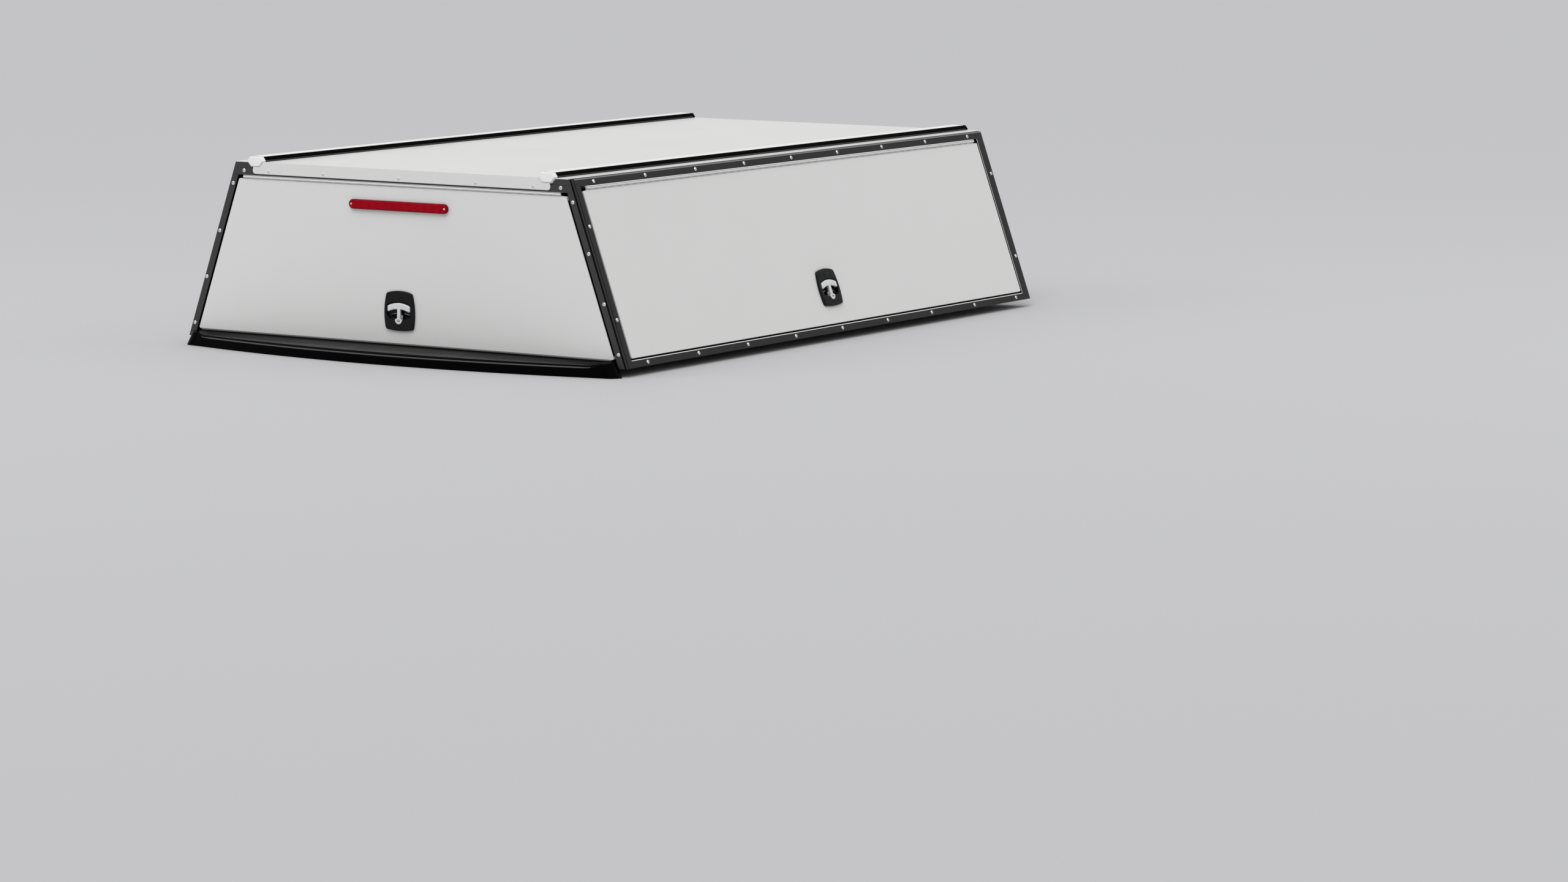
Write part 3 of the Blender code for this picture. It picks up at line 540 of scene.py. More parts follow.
def pianoHinge(name, at, run, doorEdge, space, doorBody, stripFinish):
    back = hinge["barrelOut"] - hinge["radius"]
    front = back + hinge["leaf"]
    middle = doorEdge + space / 2
    ceiling, seat = doorEdge + space - hinge["seatGap"], doorEdge + hinge["seatGap"]
    knuckleTop = middle + hinge["radius"] + hinge["fitGap"]
    flange, shelf = ceiling - hinge["leaf"], seat + hinge["leaf"]
    fixed, moving = bmesh.new(), bmesh.new()
    prism(fixed, at, [(back, knuckleTop), (front, knuckleTop), (front, ceiling), (-hinge["depth"], ceiling),
                      (-hinge["depth"], flange), (back, flange)], *run)
    prism(moving, at, [(front, seat), (front, shelf), (-hinge["depth"], shelf),
                       (-hinge["depth"], seat)], *run)
    root, rise = seat + hinge["lipBite"], middle - hinge["radius"] + hinge["lipRise"]
    outer, inner = back - hinge["lipBack"], back - hinge["lipBack"] - hinge["lipThick"]
    prism(moving, at, [(outer, root), (outer, rise), (inner, rise), (inner, root)], *run)

    lap, low, out = back + hinge["stripLap"], knuckleTop + hinge["stripLift"], hinge["stripOut"]
    slope = hinge["stripSlope"]
    section = [(lap, low), (out, low), (out + slope, low + hinge["stripNose"]),
               (hinge["seatGap"], ceiling + slope), (lap, ceiling)]
    # Its finish comes from the caller; the side hinges' whiter one is a painted highlight.
    loftPiece(name + "_upper_strip", [[at(a, b, n) for n, b in section] for a in run],
              stripFinish, shell, "hinge_metal")

    count = round((run[1] - run[0]) / hinge["knuckle"])
    pitch = (run[1] - run[0]) / count
    for k in range(count):
        start, end = run[0] + pitch * k, run[0] + pitch * (k + 1) - hinge["knuckleGap"]
        if k % 2:
            prism(moving, at, knuckleSection(middle, shelf, -1), start, end)
        else:
            prism(fixed, at, knuckleSection(middle, knuckleTop, 1), start, end)
    ends = (run[0] - hinge["pinProud"], run[1] + hinge["pinProud"] - hinge["knuckleGap"])
    pin = []
    for k in range(hinge["pinSides"]):
        turn = math.tau * k / hinge["pinSides"]
        out, up = hinge["pinRadius"] * math.cos(turn), hinge["pinRadius"] * math.sin(turn)
        pin.append((hinge["barrelOut"] + out, middle + up))
    prism(fixed, at, pin, *ends)
    makePiece(name + "_frame_knuckles", fixed, "hinge", shell, "hinge_metal", [name + "_frame_leaf"])
    makePiece(name + "_door_knuckles", moving, "hinge", doorBody, "hinge_metal", [name + "_door_leaf"])


def sideAt(side):
    return lambda a, b, n: sidePoint(side, a, b, n)


sides = ((-1, "left"), (1, "right"))
cornerFace = frameSize["cornerWidth"] + frameSize["faceWidth"]
headerBottom = frameSize["height"] - frameSize["headerHeight"]
acrossFace = frameSize["faceWidth"] / math.cos(lean)

for side, label in sides:
    inset = cornerFace + hinge["sideGap"] + hinge["endInset"]
    doorEdge = slant - frameSize["faceWidth"] - hinge["sideSpace"]
    run = (inset, frameSize["length"] - inset)
    # The side hinges' strips take the whiter cap finish: a painted highlight, as if lit from above; the
    # rear strip keeps the hinge finish.
    pianoHinge(label + "_hinge", sideAt(side), run, doorEdge, hinge["sideSpace"],
               label + "_door_group", "cap")

doorEdge = headerBottom - hinge["rearSpace"]
reach = halfWidth(doorEdge) - acrossFace - hinge["rearGap"] - hinge["endInset"]
pianoHinge("rear_hinge", rearPoint, (-reach, reach), doorEdge, hinge["rearSpace"],
           "rear_door_group", "hinge")
print("hinges made")


# Screws: domed stainless heads with a cross recess, each row one piece

screw = {
    "radius": 6.6, "height": 2.4, "recess": 3.6, "recessDepth": 1.4, "sides": 32,
    "dome": ((1.0, 0.0), (1.0, 0.16), (0.965, 0.36), (0.85, 0.66), (0.70, 0.86)),
    "waist": 0.34, "taper": 0.82,  # shares of the recess between its arms and at its floor
    "smallRadius": 4.6, "smallHeight": 2.2,
    "topRow": (119, 282.5, 9, 600.2), "baseRow": (127, 282.4, 9, 12.2),  # first, pitch, count, level
    "rearPostAt": 30.5, "frontPostAt": 2465, "postLevels": (147.9, 432.6),
    "endSpots": ((628, 550), (674, 507), (733, 350), (790, 197), (843, 43)),  # out from the middle, up
    "flangeAt": (-525, -303, 0, 303, 525), "flangeLevel": 551, "flangeProud": 3,
}


def addScrew(shape, at, a, b, n, radius, height):
    turn = random.uniform(0, math.tau)  # no two cross recesses point the same way
    recess = screw["recess"] * radius / screw["radius"]
    depth = screw["recessDepth"] * height / screw["height"]
    angles = [math.tau * k / screw["sides"] for k in range(screw["sides"])]

    def ring(reach, level):
        return [at(a + reach(t) * math.cos(t + turn), b + reach(t) * math.sin(t + turn), n + level)
                for t in angles]

    def cross(size):
        waist = screw["waist"]
        return lambda t: recess * size * (waist + (1 - waist) * abs(math.cos(2 * t)) ** 5)

    rings = [ring(lambda t, share=share: radius * share, height * level)
             for share, level in screw["dome"]]
    rings += [ring(cross(1.0), height), ring(cross(screw["taper"]), height - depth)]
    loft(shape, rings)


def screwRow(name, finish, slotName, spots):  # spots are (plane, a, b, n, small)
    shape = bmesh.new()
    for at, a, b, n, small in spots:
        if small:
            addScrew(shape, at, a, b, n, screw["smallRadius"], screw["smallHeight"])
        else:
            addScrew(shape, at, a, b, n, screw["radius"], screw["height"])
    makePiece(name, shape, finish, shell, slotName)


for side, label in sides:
    at = sideAt(side)
    spots = []
    for first, pitch, count, level in (screw["topRow"], screw["baseRow"]):
        spots += [(at, first + pitch * k, level, 0, False) for k in range(count)]
    for z in screw["postLevels"]:
        v = z / math.cos(lean)
        spots += [(at, screw["rearPostAt"], v, 0, False), (at, screw["frontPostAt"], v, 0, False)]
    screwRow(label + "_frame_screws", "screw", "hinge_metal", spots)

for label, at in (("rear", rearPoint), ("front", frontPoint)):
    spots = [(at, side * x, z, 0, False) for x, z in screw["endSpots"] for side in (-1, 1)]
    screwRow(label + "_frame_screws", "screw", "hinge_metal", spots)
    spots = [(at, x, screw["flangeLevel"], screw["flangeProud"], True) for x in screw["flangeAt"]]
    screwRow(label + "_flange_screws", "screw", "hinge_metal", spots)
print("screws made")


# Rear corner trims: a groove right on the corner, made black by a black strip laid in it (painted shade),
# then a face that rolls round to the side

trim = {"groove": 5.2, "grooveDepth": 2.5, "width": 17.8, "bulge": 0.5, "peak": 7.5, "startFall": 0.4,
        "endFall": 1.6, "wall": 3, "grooveShade": 0.3, "fit": 0.1, "steps": 16}


def cornerTrim(side, label):
    def column(section):
        rings = []
        for z in (0.0, frameSize["height"]):
            rings.append([sidePoint(side, u, (z - n * math.sin(lean)) / math.cos(lean), n)
                          for u, n in section])
        return rings

    start, end, fit = trim["groove"], trim["width"], trim["fit"]
    floor, face = -trim["grooveDepth"], trim["grooveShade"] - trim["grooveDepth"]
    section = [(fit, -trim["wall"]), (fit, floor), (start, floor), (start, -trim["startFall"])]
    for k in range(1, trim["steps"]):
        u = start + (end - start) * k / trim["steps"]
        limit, fall = (start, trim["startFall"]) if u < trim["peak"] else (end, trim["endFall"])
        share = (u - trim["peak"]) / (limit - trim["peak"])
        section.append((u, trim["bulge"] - (trim["bulge"] + fall) * share ** 2))
    section += [(end, -trim["endFall"]), (end, -trim["wall"])]
    loftPiece(label + "_corner_trim_skin", column(section), "frame", shell, "frame_paint",
              [label + "_rear_corner_trim"], 40)
    # A black strip in the groove: painted shade.
    grooveShade = [(2 * fit, floor), (2 * fit, face), (start - fit, face), (start - fit, floor)]
    loftPiece(label + "_corner_groove_shade", column(grooveShade), "rubber", shell, "seal_rubber")


for side, label in sides:
    cornerTrim(side, label)
print("corner trims made")


# White and bare aluminium beads on the side frames' inner lips: painted highlights on the lips' edges; and
# a grey line along their top edges: painted light and shade on that edge

bead = {"width": 2.4, "postWidth": 1.6, "topWidth": 3.4, "proud": 0.8, "fromEdge": 0.3, "sunk": 0.2,
        "round": 0.4, "endGap": 0.5, "frontGap": 1}


def beadAlong(name, side, path, across, width, finish, slotName):
    half, proud, sunk, edge = width / 2, bead["proud"], bead["sunk"], bead["round"]
    corners = [(-half, -sunk, 0), (half, -sunk, 0), (half, proud, edge), (-half, proud, edge)]
    section = filletPath(corners, 3, True)
    rings = [[sidePoint(side, u + across[0] * p.x, v + across[1] * p.x, p.y) for p in section]
             for u, v in path]
    loftPiece(name, rings, finish, shell, slotName)


for side, label in sides:
    level = frameSize["faceWidth"] - bead["fromEdge"] - bead["width"] / 2
    start, end = cornerFace + bead["endGap"], frameSize["length"] - cornerFace - bead["endGap"]
    # The white base bead is a painted highlight on the base rail's upper lip.
    beadAlong(label + "_base_edge_highlight", side, [(start, level), (end, level)], (0, 1), bead["width"],
              "cap", "hinge_metal")
    u = frameSize["length"] - cornerFace + bead["fromEdge"] + bead["postWidth"] / 2
    top = slant - frameSize["faceWidth"]
    # The bright front bead is a painted highlight on the front post's inner lip.
    beadAlong(label + "_front_edge_highlight", side, [(u, frameSize["faceWidth"]), (u, top)], (1, 0),
              bead["postWidth"], "hinge", "hinge_metal")
    level = slant - bead["fromEdge"] - bead["topWidth"] / 2
    start, end = frameSize["cornerWidth"] + bead["endGap"], frameSize["length"] - bead["frontGap"]
    # The grey line is painted light and shade on the top edge, between the white roof and the dark frame.
    beadAlong(label + "_top_edge_grey_line", side, [(start, level), (end, level)], (0, 1),
              bead["topWidth"], "greyPaintedEdgeLight", "seal_rubber")
print("beads made")


# Black sheets on the walls of each doorway: painted shade, so that the gaps round the doors read as black

gapShade = {"thick": 0.8, "front": -1.2, "back": -25, "rearTop": 0.4, "rearFoot": 1.5}


def shadeDoorway(name, at, corners):  # corners run down one side of the doorway and up the other
    front, back, thick = gapShade["front"], gapShade["back"], gapShade["thick"]
    rings = []
    for k, (a, b) in enumerate(corners):
        inA = a + (thick if k < 2 else -thick)
        inB = b + (thick if k in (1, 2) else 0)
        rings.append([at(a, b, front), at(inA, inB, front), at(inA, inB, back), at(a, b, back)])
    loftPiece(name + "_doorway_shade", rings, "rubber", shell, "seal_rubber")


for side, label in sides:
    near, far = cornerFace, frameSize["length"] - cornerFace
    low, high = frameSize["faceWidth"], slant - frameSize["faceWidth"]
    shadeDoorway(label, sideAt(side), [(near, high), (near, low), (far, low), (far, high)])
top, foot = headerBottom - gapShade["rearTop"], sill["lip"] + gapShade["rearFoot"]
wide = [halfWidth(z) - acrossFace for z in (top, foot)]
shadeDoorway("rear", rearPoint, [(-wide[0], top), (-wide[1], foot), (wide[1], foot), (wide[0], top)])
print("doorways lined")


# Roof rails: a ribbed white strip pressed into the top of each rail

strip = {"width": 43, "height": 1.3, "grooves": (-10.5, 0, 10.5), "grooveWidth": 2.0, "grooveDepth": 0.6,
         "seat": 0.25, "edgeRound": 0.6, "grooveRound": 0.25}
ridge = {"share": 0.57,  # of the rail's height, up to the ridge
         "height": 2.6, "proud": 0.7, "bite": 1.8, "flare": 0.5}


def railStrip(label):
    low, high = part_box(label + "_roof_rail")
    middle = (low.x + high.x) / 2
    half, top = strip["width"] / 2, strip["height"]
    seat, edge = strip["seat"], strip["edgeRound"]
    corners = [(half, seat, 0), (half, top, edge)]
    for groove in reversed(strip["grooves"]):
        for turn, level in ((1, 0), (1, 1), (-1, 1), (-1, 0)):
            x, y = groove + turn * strip["grooveWidth"] / 2, top - level * strip["grooveDepth"]
            corners.append((x, y, strip["grooveRound"]))
    corners += [(-half, top, edge), (-half, seat, 0)]
    section = filletPath(corners, 2, True)
    rings = [[Vector((middle + p.x * mm, y, high.z + p.y * mm)) for p in section]
             for y in (low.y, high.y)]
    loftPiece(label + "_rail_strip", rings, "cap", shell, "cap_plastic")


def railRidges(label):  # a fine line along the widest part of the rail, on both sides
    low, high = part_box(label + "_roof_rail")
    level = low.z + (high.z - low.z) * ridge["share"]
    half, out = ridge["height"] / 2, ridge["proud"]
    root, foot = -ridge["bite"], half + ridge["flare"]
    section = [(root, -foot), (out, -half), (out, half), (root, foot)]
    shape = bmesh.new()
    for tip, turn in ((low.x, -1), (high.x, 1)):
        loft(shape, [[Vector((tip + turn * n * mm, y, level + b * mm)) for n, b in section]
                     for y in (low.y, high.y)])
    # The ridge takes the paler copy of the charcoal powder: a painted highlight along the rail's widest
    # edge.
    makePiece(label + "_rail_ridges", shape, "endFrame", shell, "frame_paint")


for side, label in sides:
    railStrip(label)
    railRidges(label)
print("rail strips made")


# High brake light: a red lens with a raised middle on a rubber gasket, held by a screw at each end

brakeLight = {
    "length": 390, "height": 31, "depth": 12, "level": headerBottom - 72.5, "round": 1.4,
    "gasket": 1.2, "gasketInset": 0.7, "gasketRound": 0.4, "seat": 0.2, "fit": 0.1,
    "tabLength": 18, "tabDepth": 10.4, "bodyInset": 2.8,
    "rim": ((0.0, 3.0), (0.4, 1.4), (1.2, 0.4), (2.3, 0.0)),  # (in, down) round the tabs' edge
    "shadedRimTurn": -0.75,  # faces that look rearwards less than this take the darker copy: painted shade on the lens's rounded rim
    "panel": ((6.0, 0.0), (6.6, 0.28), (7.6, 0.35)),  # (in, up) round the raised middle
    "screwAt": 184.5, "screwRadius": 3.4, "screwHeight": 1.6,
}


def stadium(halfLength, halfHeight, steps=14):
    straight = halfLength - halfHeight
    points = []
    for turn in (-1, 1):
        for k in range(steps + 1):
            angle = math.pi * (k / steps - 0.5) + (0 if turn == -1 else math.pi)
            points.append((-turn * straight + halfHeight * math.cos(angle), halfHeight * math.sin(angle)))
    return points


def buildBrakeLight():
    look = brakeLight
    middle, half, end = look["level"], look["length"] / 2, look["height"] / 2

    def layer(shrink, n, cut=0.0):
        return [rearPoint(x, middle + z, n) for x, z in stadium(half - shrink - cut, end - shrink)]

    back, top, edge = look["gasketInset"], look["gasket"], look["gasketRound"]
    rings = [layer(back, look["seat"]), layer(back, top - edge), layer(back + edge, top)]
    loftPiece("brake_light_gasket", rings, "rubber", "rear_door_group", "seal_rubber")

    tab, cut, inset = look["tabDepth"], look["tabLength"], look["bodyInset"]
    levels = [(0.0, top + look["fit"], 0.0)] + [(back, tab - down, 0.0) for back, down in look["rim"]]
    levels.append((inset, tab, cut))
    levels += [(inset + back, look["depth"] - down, cut) for back, down in quarterRound(look["round"], 6)]
    levels += [(back, look["depth"] + up, cut) for back, up in look["panel"]]
    lens = loftPiece("brake_light_lens", [layer(*level) for level in levels], "lens",
                     "rear_door_group", "red_lens", ["brake_light"])
    # The faces that turn away from the rear take the darker red: painted shade.
    lens.data.materials.append(finishes["lensShadedRim"])
    for face in lens.data.polygons:
        if face.normal.y > look["shadedRimTurn"]:
            face.material_index = 1

    shape = bmesh.new()
    for side in (-1, 1):
        addScrew(shape, rearPoint, side * look["screwAt"], middle, tab - look["fit"],
                 look["screwRadius"], look["screwHeight"])
    makePiece("brake_light_screws", shape, "screw", "rear_door_group", "hinge_metal")


buildBrakeLight()
print("brake light made")


# Locks: a barrel shaped plate with the handle's recess and two finger pockets, a chromed hub and T-handle

lock = {
    "height": 128, "width": 119, "topWidth": 100, "footWidth": 108, "crown": 7.7, "sag": 5.1,
    "proud": 8, "edgeRound": 3.2, "recessDepth": 4, "pocketDepth": 8, "lipRound": 1.2,
    "cupWall": 1.8, "cupDepth": 14, "fit": 0.3, "archRound": 60,
    "recessHeel": (-13, 9), "recessCorner": 4,  # level and round beside the pockets, round at the top
    "recessFoot": ((-40, -25, 9), (-17, -29.8, 20), (0, -30.4, 60), (17, -29.8, 20), (40, -25, 9)),
    "recessRim": ((0.5, 1.2), (0.8, 0.5), (1.6, 0.0)),  # (in, up) down to the recess's floor
    "pocket": ((9.8, -26.4, 2.5), (35, -21, 3), (37.5, -14.5, 2.5), (9.8, -8.5, 2.5)),
    "pocketLip": ((-0.9, 0.0), (-0.3, -0.25), (0.0, -0.9)),  # (in, up) from the recess's floor
    "pocketFoot": ((1.0, 1.2), (1.5, 0.4), (2.4, 0.0)),  # (in, up) from the pocket's floor
    "pivotDrop": 18.6, "span": 88, "length": 44, "bar": 20, "barCrown": 10, "stem": 12, "thickness": 9,
    "edge": 2.2, "handleProud": 2.0, "recessMargin": 4.2, "tipRound": 5.5, "underRound": 4.0,
    "barRound": 80, "stemRound": 2.5, "stemFlare": 0.6, "stemFoot": 6,
    "hubWidth": 16.6, "hubDrop": 10.5, "hubProud": 3, "hubRound": 0.7,
    "coverTop": 8, "coverWidth": 28.5, "coverHeight": 16, "coverCorner": 1.6, "coverEdge": 0.9,
    "slotDrop": 5.2, "slotSize": (6.5, 1.2), "drainAt": -50, "drainSize": 1.5,  # half sizes
    "markSunk": 0.1, "markProud": 0.12,
    "padSize": (27, 15), "padAt": (0, 45), "padCorner": 2, "padCrown": 1,
    "padLevels": ((0.0, -0.2), (0.0, 0.3), (0.2, 0.6), (0.7, 0.8)),  # (in, up) from the plate's face
    "sideRise": 121.5, "rearRise": 105,
    "pocketHighlight": ((14, -9.3), (34.5, -13.8)),  # ends of the painted highlight on each pocket's upper lip
    "pocketHighlightSection": ((0.0, -0.7), (1.1, -0.2), (1.0, 0.35), (0.3, 0.35)),  # (up, out) round that line
}


def plateOutline(steps=40, passes=5):  # counterclockwise from the top right corner
    top, foot, waist = lock["topWidth"] / 2, lock["footWidth"] / 2, lock["width"] / 2
    rise, fall = lock["height"] / 2 - lock["crown"], lock["sag"] - lock["height"] / 2
    bulge = waist - (top + foot) / 2
    corners = [Vector((top, rise)), Vector((-top, rise)), Vector((-foot, fall)), Vector((foot, fall))]
    bows = [Vector((0, lock["crown"])), Vector((-bulge, 0)), Vector((0, -lock["sag"])), Vector((bulge, 0))]
    points = []
    for start, end, bow in zip(corners, corners[1:] + corners[:1], bows):
        for k in range(steps):
            t = k / steps
            points.append(start * (1 - t) + end * t + bow * 4 * t * (1 - t))
    count = len(points)
    for _ in range(passes):  # rounds the four corners
        points = [(points[i - 1] + points[i] * 2 + points[(i + 1) % count]) / 4 for i in range(count)]
    return points


def spoke(path, point):  # where the ray from the middle through a point meets a closed path
    ray = Vector(point).normalized()
    reach = 0.0
    for start, end in zip(path, path[1:] + path[:1]):
        run = end - start
        cross = ray.x * run.y - ray.y * run.x
        if abs(cross) < 1e-9:
            continue
        along = (start.x * run.y - start.y * run.x) / cross
        share = (start.x * ray.y - start.y * ray.x) / cross
        if -1e-6 <= share <= 1 + 1e-6:
            reach = max(reach, along)
    return ray * reach


def recessPath():  # follows the arched bar above, and closes under the finger pockets
    margin, span = lock["recessMargin"], lock["span"] / 2
    peak = lock["length"] - lock["pivotDrop"] + margin
    half = span + margin
    corners = [(half * t, peak - lock["barCrown"] * (half * t / span) ** 2,
                lock["recessCorner"] if abs(t) == 1 else lock["archRound"])
               for t in (1, 0.7, 0.35, 0, -0.35, -0.7, -1)]
    corners += [(-half, *lock["recessHeel"]), *lock["recessFoot"], (half, *lock["recessHeel"])]
    return filletPath(corners, 6, True)


def fingerPocket(side):
    path = filletPath([(side * a, b, r) for a, b, r in lock["pocket"]], 5, True)
    return path if side > 0 else path[::-1]


def buildPlate(name, at, body):
    def layer(outline, n):
        return [at(p[0], p[1], n) for p in outline]

    outer, path = plateOutline(), recessPath()
    proud, floor, fit = lock["proud"], -lock["recessDepth"], lock["fit"]

    def aroundRecess(back):  # the recess's outline, with one point for each point of the plate's
        moved = offsetOutline(path, back)
        return [spoke(moved, p) for p in outer]

    rings = [layer(aroundRecess(-lock["cupWall"]), n) for n in (-lock["cupDepth"], fit)]
    rings.append(layer(outer, fit))
    for back, down in quarterRound(lock["edgeRound"]):
        rings.append(layer(offsetOutline(outer, back), proud - down))
    for back, down in quarterRound(lock["lipRound"])[::-1]:
        rings.append(layer(aroundRecess(-back), proud - down))
    rings += [layer(aroundRecess(back), floor + up) for back, up in lock["recessRim"]]
    shape = bmesh.new()
    corners = list(loft(shape, rings, True, False)[-1])
    edges = [[p.to_3d() for p in aroundRecess(lock["recessRim"][-1][0])]]
    levels = lock["pocketLip"] + tuple((back, up - lock["pocketDepth"]) for back, up in lock["pocketFoot"])
    for side in (-1, 1):
        mouth = fingerPocket(side)
        pocket = [layer(offsetOutline(mouth, back), floor + up) for back, up in levels]
        corners += loft(shape, pocket, False, True)[0]
        edges.append([p.to_3d() for p in offsetOutline(mouth, levels[0][0])])
    for triangle in tessellate_polygon(edges):
        shape.faces.new([corners[i] for i in triangle])

    width, height = lock["padSize"]
    across, up = lock["padAt"]
    half, top, bend = width / 2, height / 2, lock["padCorner"]
    corners = [(half, -top, bend), (half, top - bend, bend), (0, top + lock["padCrown"], lock["archRound"]),
               (-half, top - bend, bend), (-half, -top, bend)]
    pad = [p + Vector((across, up)) for p in filletPath(corners, 5, True)]
    loft(shape, [layer(offsetOutline(pad, back), proud + rise) for back, rise in lock["padLevels"]])
    makePiece(name + "_lock_housing", shape, "lock", body, "lock_plastic", [name + "_lock_plate"])


def buildPocketHighlights(name, at, body):  # chrome lines on the pockets' upper lips: painted highlights
    shape = bmesh.new()
    floor = -lock["recessDepth"]
    for side in (-1, 1):
        loft(shape, [[at(side * a, b + up, floor + n) for up, n in lock["pocketHighlightSection"]]
                     for a, b in lock["pocketHighlight"]])
    makePiece(name + "_pocket_highlights", shape, "chrome", body, "handle_chrome")


def buildHub(name, at, body):
    knob, drop = lock["thickness"] / 2, lock["pivotDrop"]
    lift = lock["proud"] - knob + lock["handleProud"]
    fit, foot, top = lock["fit"], -lock["hubDrop"], lock["proud"] + lock["hubProud"]
    floor, seat = fit - lock["recessDepth"], lift - knob - fit
    section = [(knob, floor), (knob, seat), (-knob - fit, seat), (-knob - fit, top), (foot, top),
               (foot, floor)]
    half = lock["hubWidth"] / 2
    shape = bmesh.new()
    loft(shape, [[at(a, b - drop, n) for b, n in section] for a in (-half, half)])
    bmesh.ops.bevel(shape, geom=shape.edges[:], offset=lock["hubRound"] * mm, segments=3,
                    affect="EDGES", clamp_overlap=True, profile=0.5)
    across, down, steps = lock["coverWidth"] / 2, lock["coverHeight"], 10
    corners = [(-across, 0, lock["coverCorner"])]  # a half ellipse under a straight top
    for k in range(1, steps):
        angle = math.pi * k / steps
        corners.append((-across * math.cos(angle), -down * math.sin(angle), lock["archRound"]))
    corners.append((across, 0, lock["coverCorner"]))
    cover = [p + Vector((0, -drop - lock["coverTop"])) for p in filletPath(corners, 4, True)]
    rings = [[at(p.x, p.y, lock["proud"] + fit) for p in cover]]
    for back, low in quarterRound(lock["coverEdge"]):
        rings.append([at(p.x, p.y, top - low) for p in offsetOutline(cover, back)])
    loft(shape, rings)
    makePiece(name + "_lock_boss", shape, "chrome", body, "handle_chrome", [name + "_lock_hub"])

    # The key slot and the drain hole are flat black marks on the faces, not cuts: painted shade.
    shape = bmesh.new()
    slotSpot, dot = -drop - lock["coverTop"] - lock["slotDrop"], lock["drainSize"]
    for b, size, n in ((slotSpot, lock["slotSize"], top), (lock["drainAt"], (dot, dot), lock["proud"])):
        mark = [(x, b + z) for x, z in stadium(*size, 8)]
        loft(shape, [[at(x, z, level) for x, z in mark]
                     for level in (n - lock["markSunk"], n + lock["markProud"])])
    makePiece(name + "_key_slot", shape, "rubber", body, "seal_rubber")


def handlePath():  # an arched bar on a stem, around the pivot
    half, stem = lock["span"] / 2, lock["stem"] / 2
    top, low, crown = lock["length"], lock["length"] - lock["bar"], lock["barCrown"]
    knob = lock["thickness"] / 2
    foot, neck = stem + lock["stemFlare"], low - crown * (stem / half) ** 2
    corners = [(half * t, top - crown * t * t, lock["tipRound"] if abs(t) == 1 else lock["barRound"])
               for t in (1, 0.75, 0.5, 0.25, 0, -0.25, -0.5, -0.75, -1)]
    rightHalf = [(half * t, low - crown * t * t, lock["underRound"] if t == 1 else lock["barRound"])
                 for t in (1, 0.75, 0.5, 0.3)]
    rightHalf += [(stem, neck, lock["stemRound"]), (foot, lock["stemFoot"], 0), (foot, -knob, 0)]
    corners += [(-x, y, radius) for x, y, radius in rightHalf] + rightHalf[::-1]
    return filletPath(corners, 5, True)


def buildHandle(name, at, body):
    knob, drop = lock["thickness"] / 2, lock["pivotDrop"]
    lift = lock["proud"] - knob + lock["handleProud"]
    path = handlePath()
    levels = [(back, down - knob) for back, down in quarterRound(lock["edge"])[::-1]]
    levels += [(back, knob - down) for back, down in quarterRound(lock["edge"])]
    rings = []
    for back, n in levels:
        foot = math.sqrt(max(knob * knob - n * n, 0.0)) / knob
        ring = [Vector((p.x, p.y * foot if p.y < 0 else p.y)) for p in offsetOutline(path, back)]
        rings.append([at(p.x, p.y - drop, lift + n) for p in ring])
    loftPiece(name + "_t_handle", rings, "chrome", body, "handle_chrome", [name + "_lock_handle"])


def buildLock(name, at):
    buildPlate(name, at, name + "_door_group")
    buildPocketHighlights(name, at, name + "_door_group")
    buildHub(name, at, name + "_door_group")
    buildHandle(name, at, name + "_handle_group")


doorFoot = frameSize["faceWidth"] + hinge["sideGap"]
for side, label in sides:
    buildLock(label, lambda a, b, n, side=side: sidePoint(
        side, frameSize["length"] / 2 + a, doorFoot + lock["sideRise"] + b, n))
rearDoorFoot = sill["lip"] + hinge["sideGap"]
sillLipHighlight = {"top": rearDoorFoot + 0.3, "bottom": sill["lip"] + 1.7, "front": -0.8, "back": -2.6,
         "noseBack": 0.6, "noseRise": 1.2, "endInset": 12}
edgeBand = {"endInset": 12, "section": ((-0.4, -2.5), (0.5, -2.5), (0.5, -17.5), (-0.4, -17.5))}


def buildSillLipHighlight():  # a grey strip under the rear door, seen as a soft line over the sill: painted highlight on the sill's lip
    front, back, top, foot = sillLipHighlight["front"], sillLipHighlight["back"], sillLipHighlight["top"], sillLipHighlight["bottom"]
    section = [(front - sillLipHighlight["noseBack"], foot), (front, foot + sillLipHighlight["noseRise"]), (front, top),
               (back, top), (back, foot)]
    reach = halfWidth(rearDoorFoot) - acrossFace - hinge["rearGap"] - sillLipHighlight["endInset"]
    loftPiece("rear_door_lip_highlight", [[rearPoint(x, z, n) for n, z in section] for x in (-reach, reach)],
              "greyPaintedEdgeLight", "rear_door_group", "seal_rubber")


def buildEdgeBands():  # black bands on the rear door's upright edges
    shape = bmesh.new()
    low = rearDoorFoot + edgeBand["endInset"]
    high = headerBottom - hinge["rearSpace"] - edgeBand["endInset"]
    for side in (-1, 1):
        rings = []
        for z in (low, high):
            edge = halfWidth(z) - acrossFace - hinge["rearGap"]
            rings.append([rearPoint(side * (edge + x), z, n) for x, n in edgeBand["section"]])
        loft(shape, rings)
    makePiece("rear_door_edge_bands", shape, "rubber", "rear_door_group", "seal_rubber")


buildSillLipHighlight()
buildEdgeBands()
buildLock("rear", lambda a, b, n: rearPoint(a, rearDoorFoot + lock["rearRise"] + b, n))
print("locks made")


# Floor, light and camera

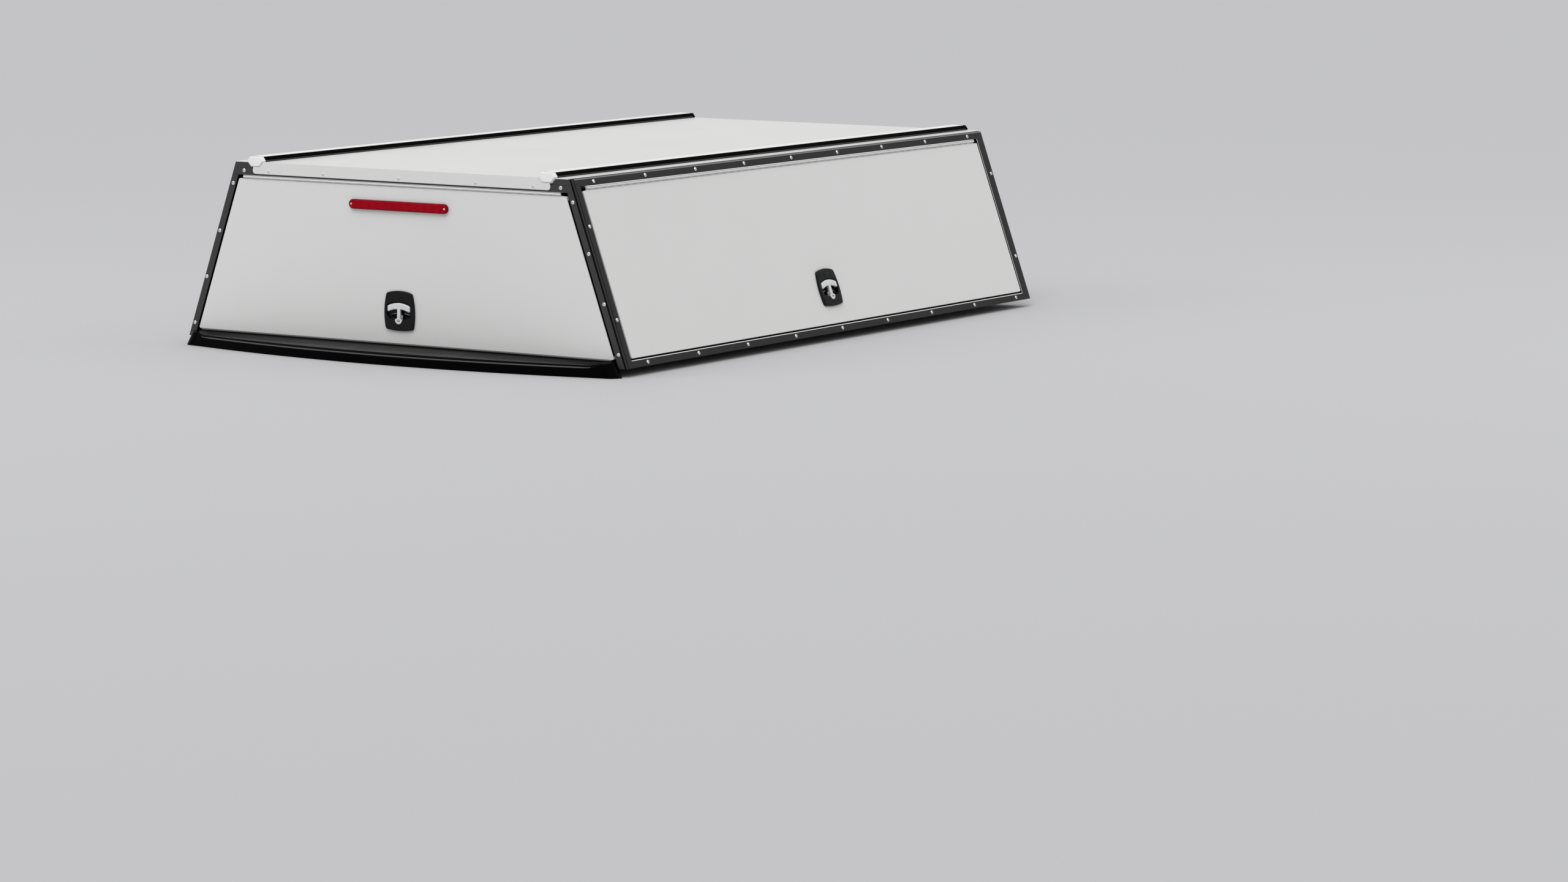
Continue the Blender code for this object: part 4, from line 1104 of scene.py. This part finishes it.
studio = {
    "floor": {"colour": "#C1C1C3", "size": 400, "shader": {"Roughness": 0.7, "Specular IOR Level": 0.2}},
    "zenith": "#FAFAFA", "horizon": "#C4C4C4", "fadeHeight": 0.9, "worldStrength": 0.85,
    "sunStrength": 1.08, "sunAngle": 35, "sunHeight": 57, "sunTurn": 15,
    "softboxes": ((-4.5, -5.5, 4.8, 2.6, 54), (5.5, 2.5, 4.5, 2.6, 30)),  # x, y, z, size in m, watts
    "aimHeight": 0.3,
}
camera = {"place": (9.4865, -13.5419, 1.8464), "turn": 33.0066, "tilt": 90 - 7.7158, "lens": 113.044}


def buildStudio():
    material, _, shader = startMaterial("studioFloor", studio["floor"])
    shader.inputs["Base Color"].default_value = linear(studio["floor"]["colour"])
    shape = bmesh.new()
    bmesh.ops.create_grid(shape, x_segments=1, y_segments=1, size=studio["floor"]["size"])
    mesh = bpy.data.meshes.new("studio_floor")
    shape.to_mesh(mesh)
    shape.free()
    mesh.materials.append(material)
    floor = addObject("studio_floor", mesh)

    world = bpy.data.worlds.new("studio")
    world.use_nodes = True
    tree = world.node_tree
    toward = addNode(tree, "ShaderNodeTexCoord", {}, {}).outputs["Generated"]
    height = addNode(tree, "ShaderNodeSeparateXYZ", {}, {"Vector": toward}).outputs["Z"]
    lifted = addNode(tree, "ShaderNodeMapRange", {"interpolation_type": "SMOOTHSTEP"}, {
        "Value": height, "From Min": 0.0, "From Max": studio["fadeHeight"], "To Min": 0.0, "To Max": 1.0})
    sky = addNode(tree, "ShaderNodeMix", {"data_type": "RGBA"}, {
        0: lifted.outputs["Result"], 6: linear(studio["horizon"]), 7: linear(studio["zenith"])})
    background = tree.nodes["Background"]
    tree.links.new(sky.outputs[2], background.inputs["Color"])
    background.inputs["Strength"].default_value = studio["worldStrength"]
    bpy.context.scene.world = world

    sun = bpy.data.lights.new("key", "SUN")
    sun.energy = studio["sunStrength"]
    sun.angle = math.radians(studio["sunAngle"])
    key = addObject("key", sun)
    key.rotation_euler = (math.radians(90 - studio["sunHeight"]), 0, math.radians(studio["sunTurn"]))

    for k, (x, y, z, size, watts) in enumerate(studio["softboxes"]):
        panel = bpy.data.lights.new(f"softbox_{k}", "AREA")
        panel.size = size
        panel.energy = watts
        box = addObject(f"softbox_{k}", panel)
        box.location = (x, y, z)
        aim = Vector((-x, -y, studio["aimHeight"] - z))
        box.rotation_euler = aim.to_track_quat("-Z", "Y").to_euler()
        box.visible_camera = False


def buildCamera():
    data = bpy.data.cameras.new("camera")
    data.sensor_width = 36
    data.lens = camera["lens"]
    data.clip_end = 2000
    eye = addObject("camera", data)
    eye.location = camera["place"]
    eye.rotation_euler = (math.radians(camera["tilt"]), 0, math.radians(camera["turn"]))
    bpy.context.scene.camera = eye


buildStudio()
buildCamera()
bpy.context.scene.view_settings.view_transform = "Standard"
print("studio ready")
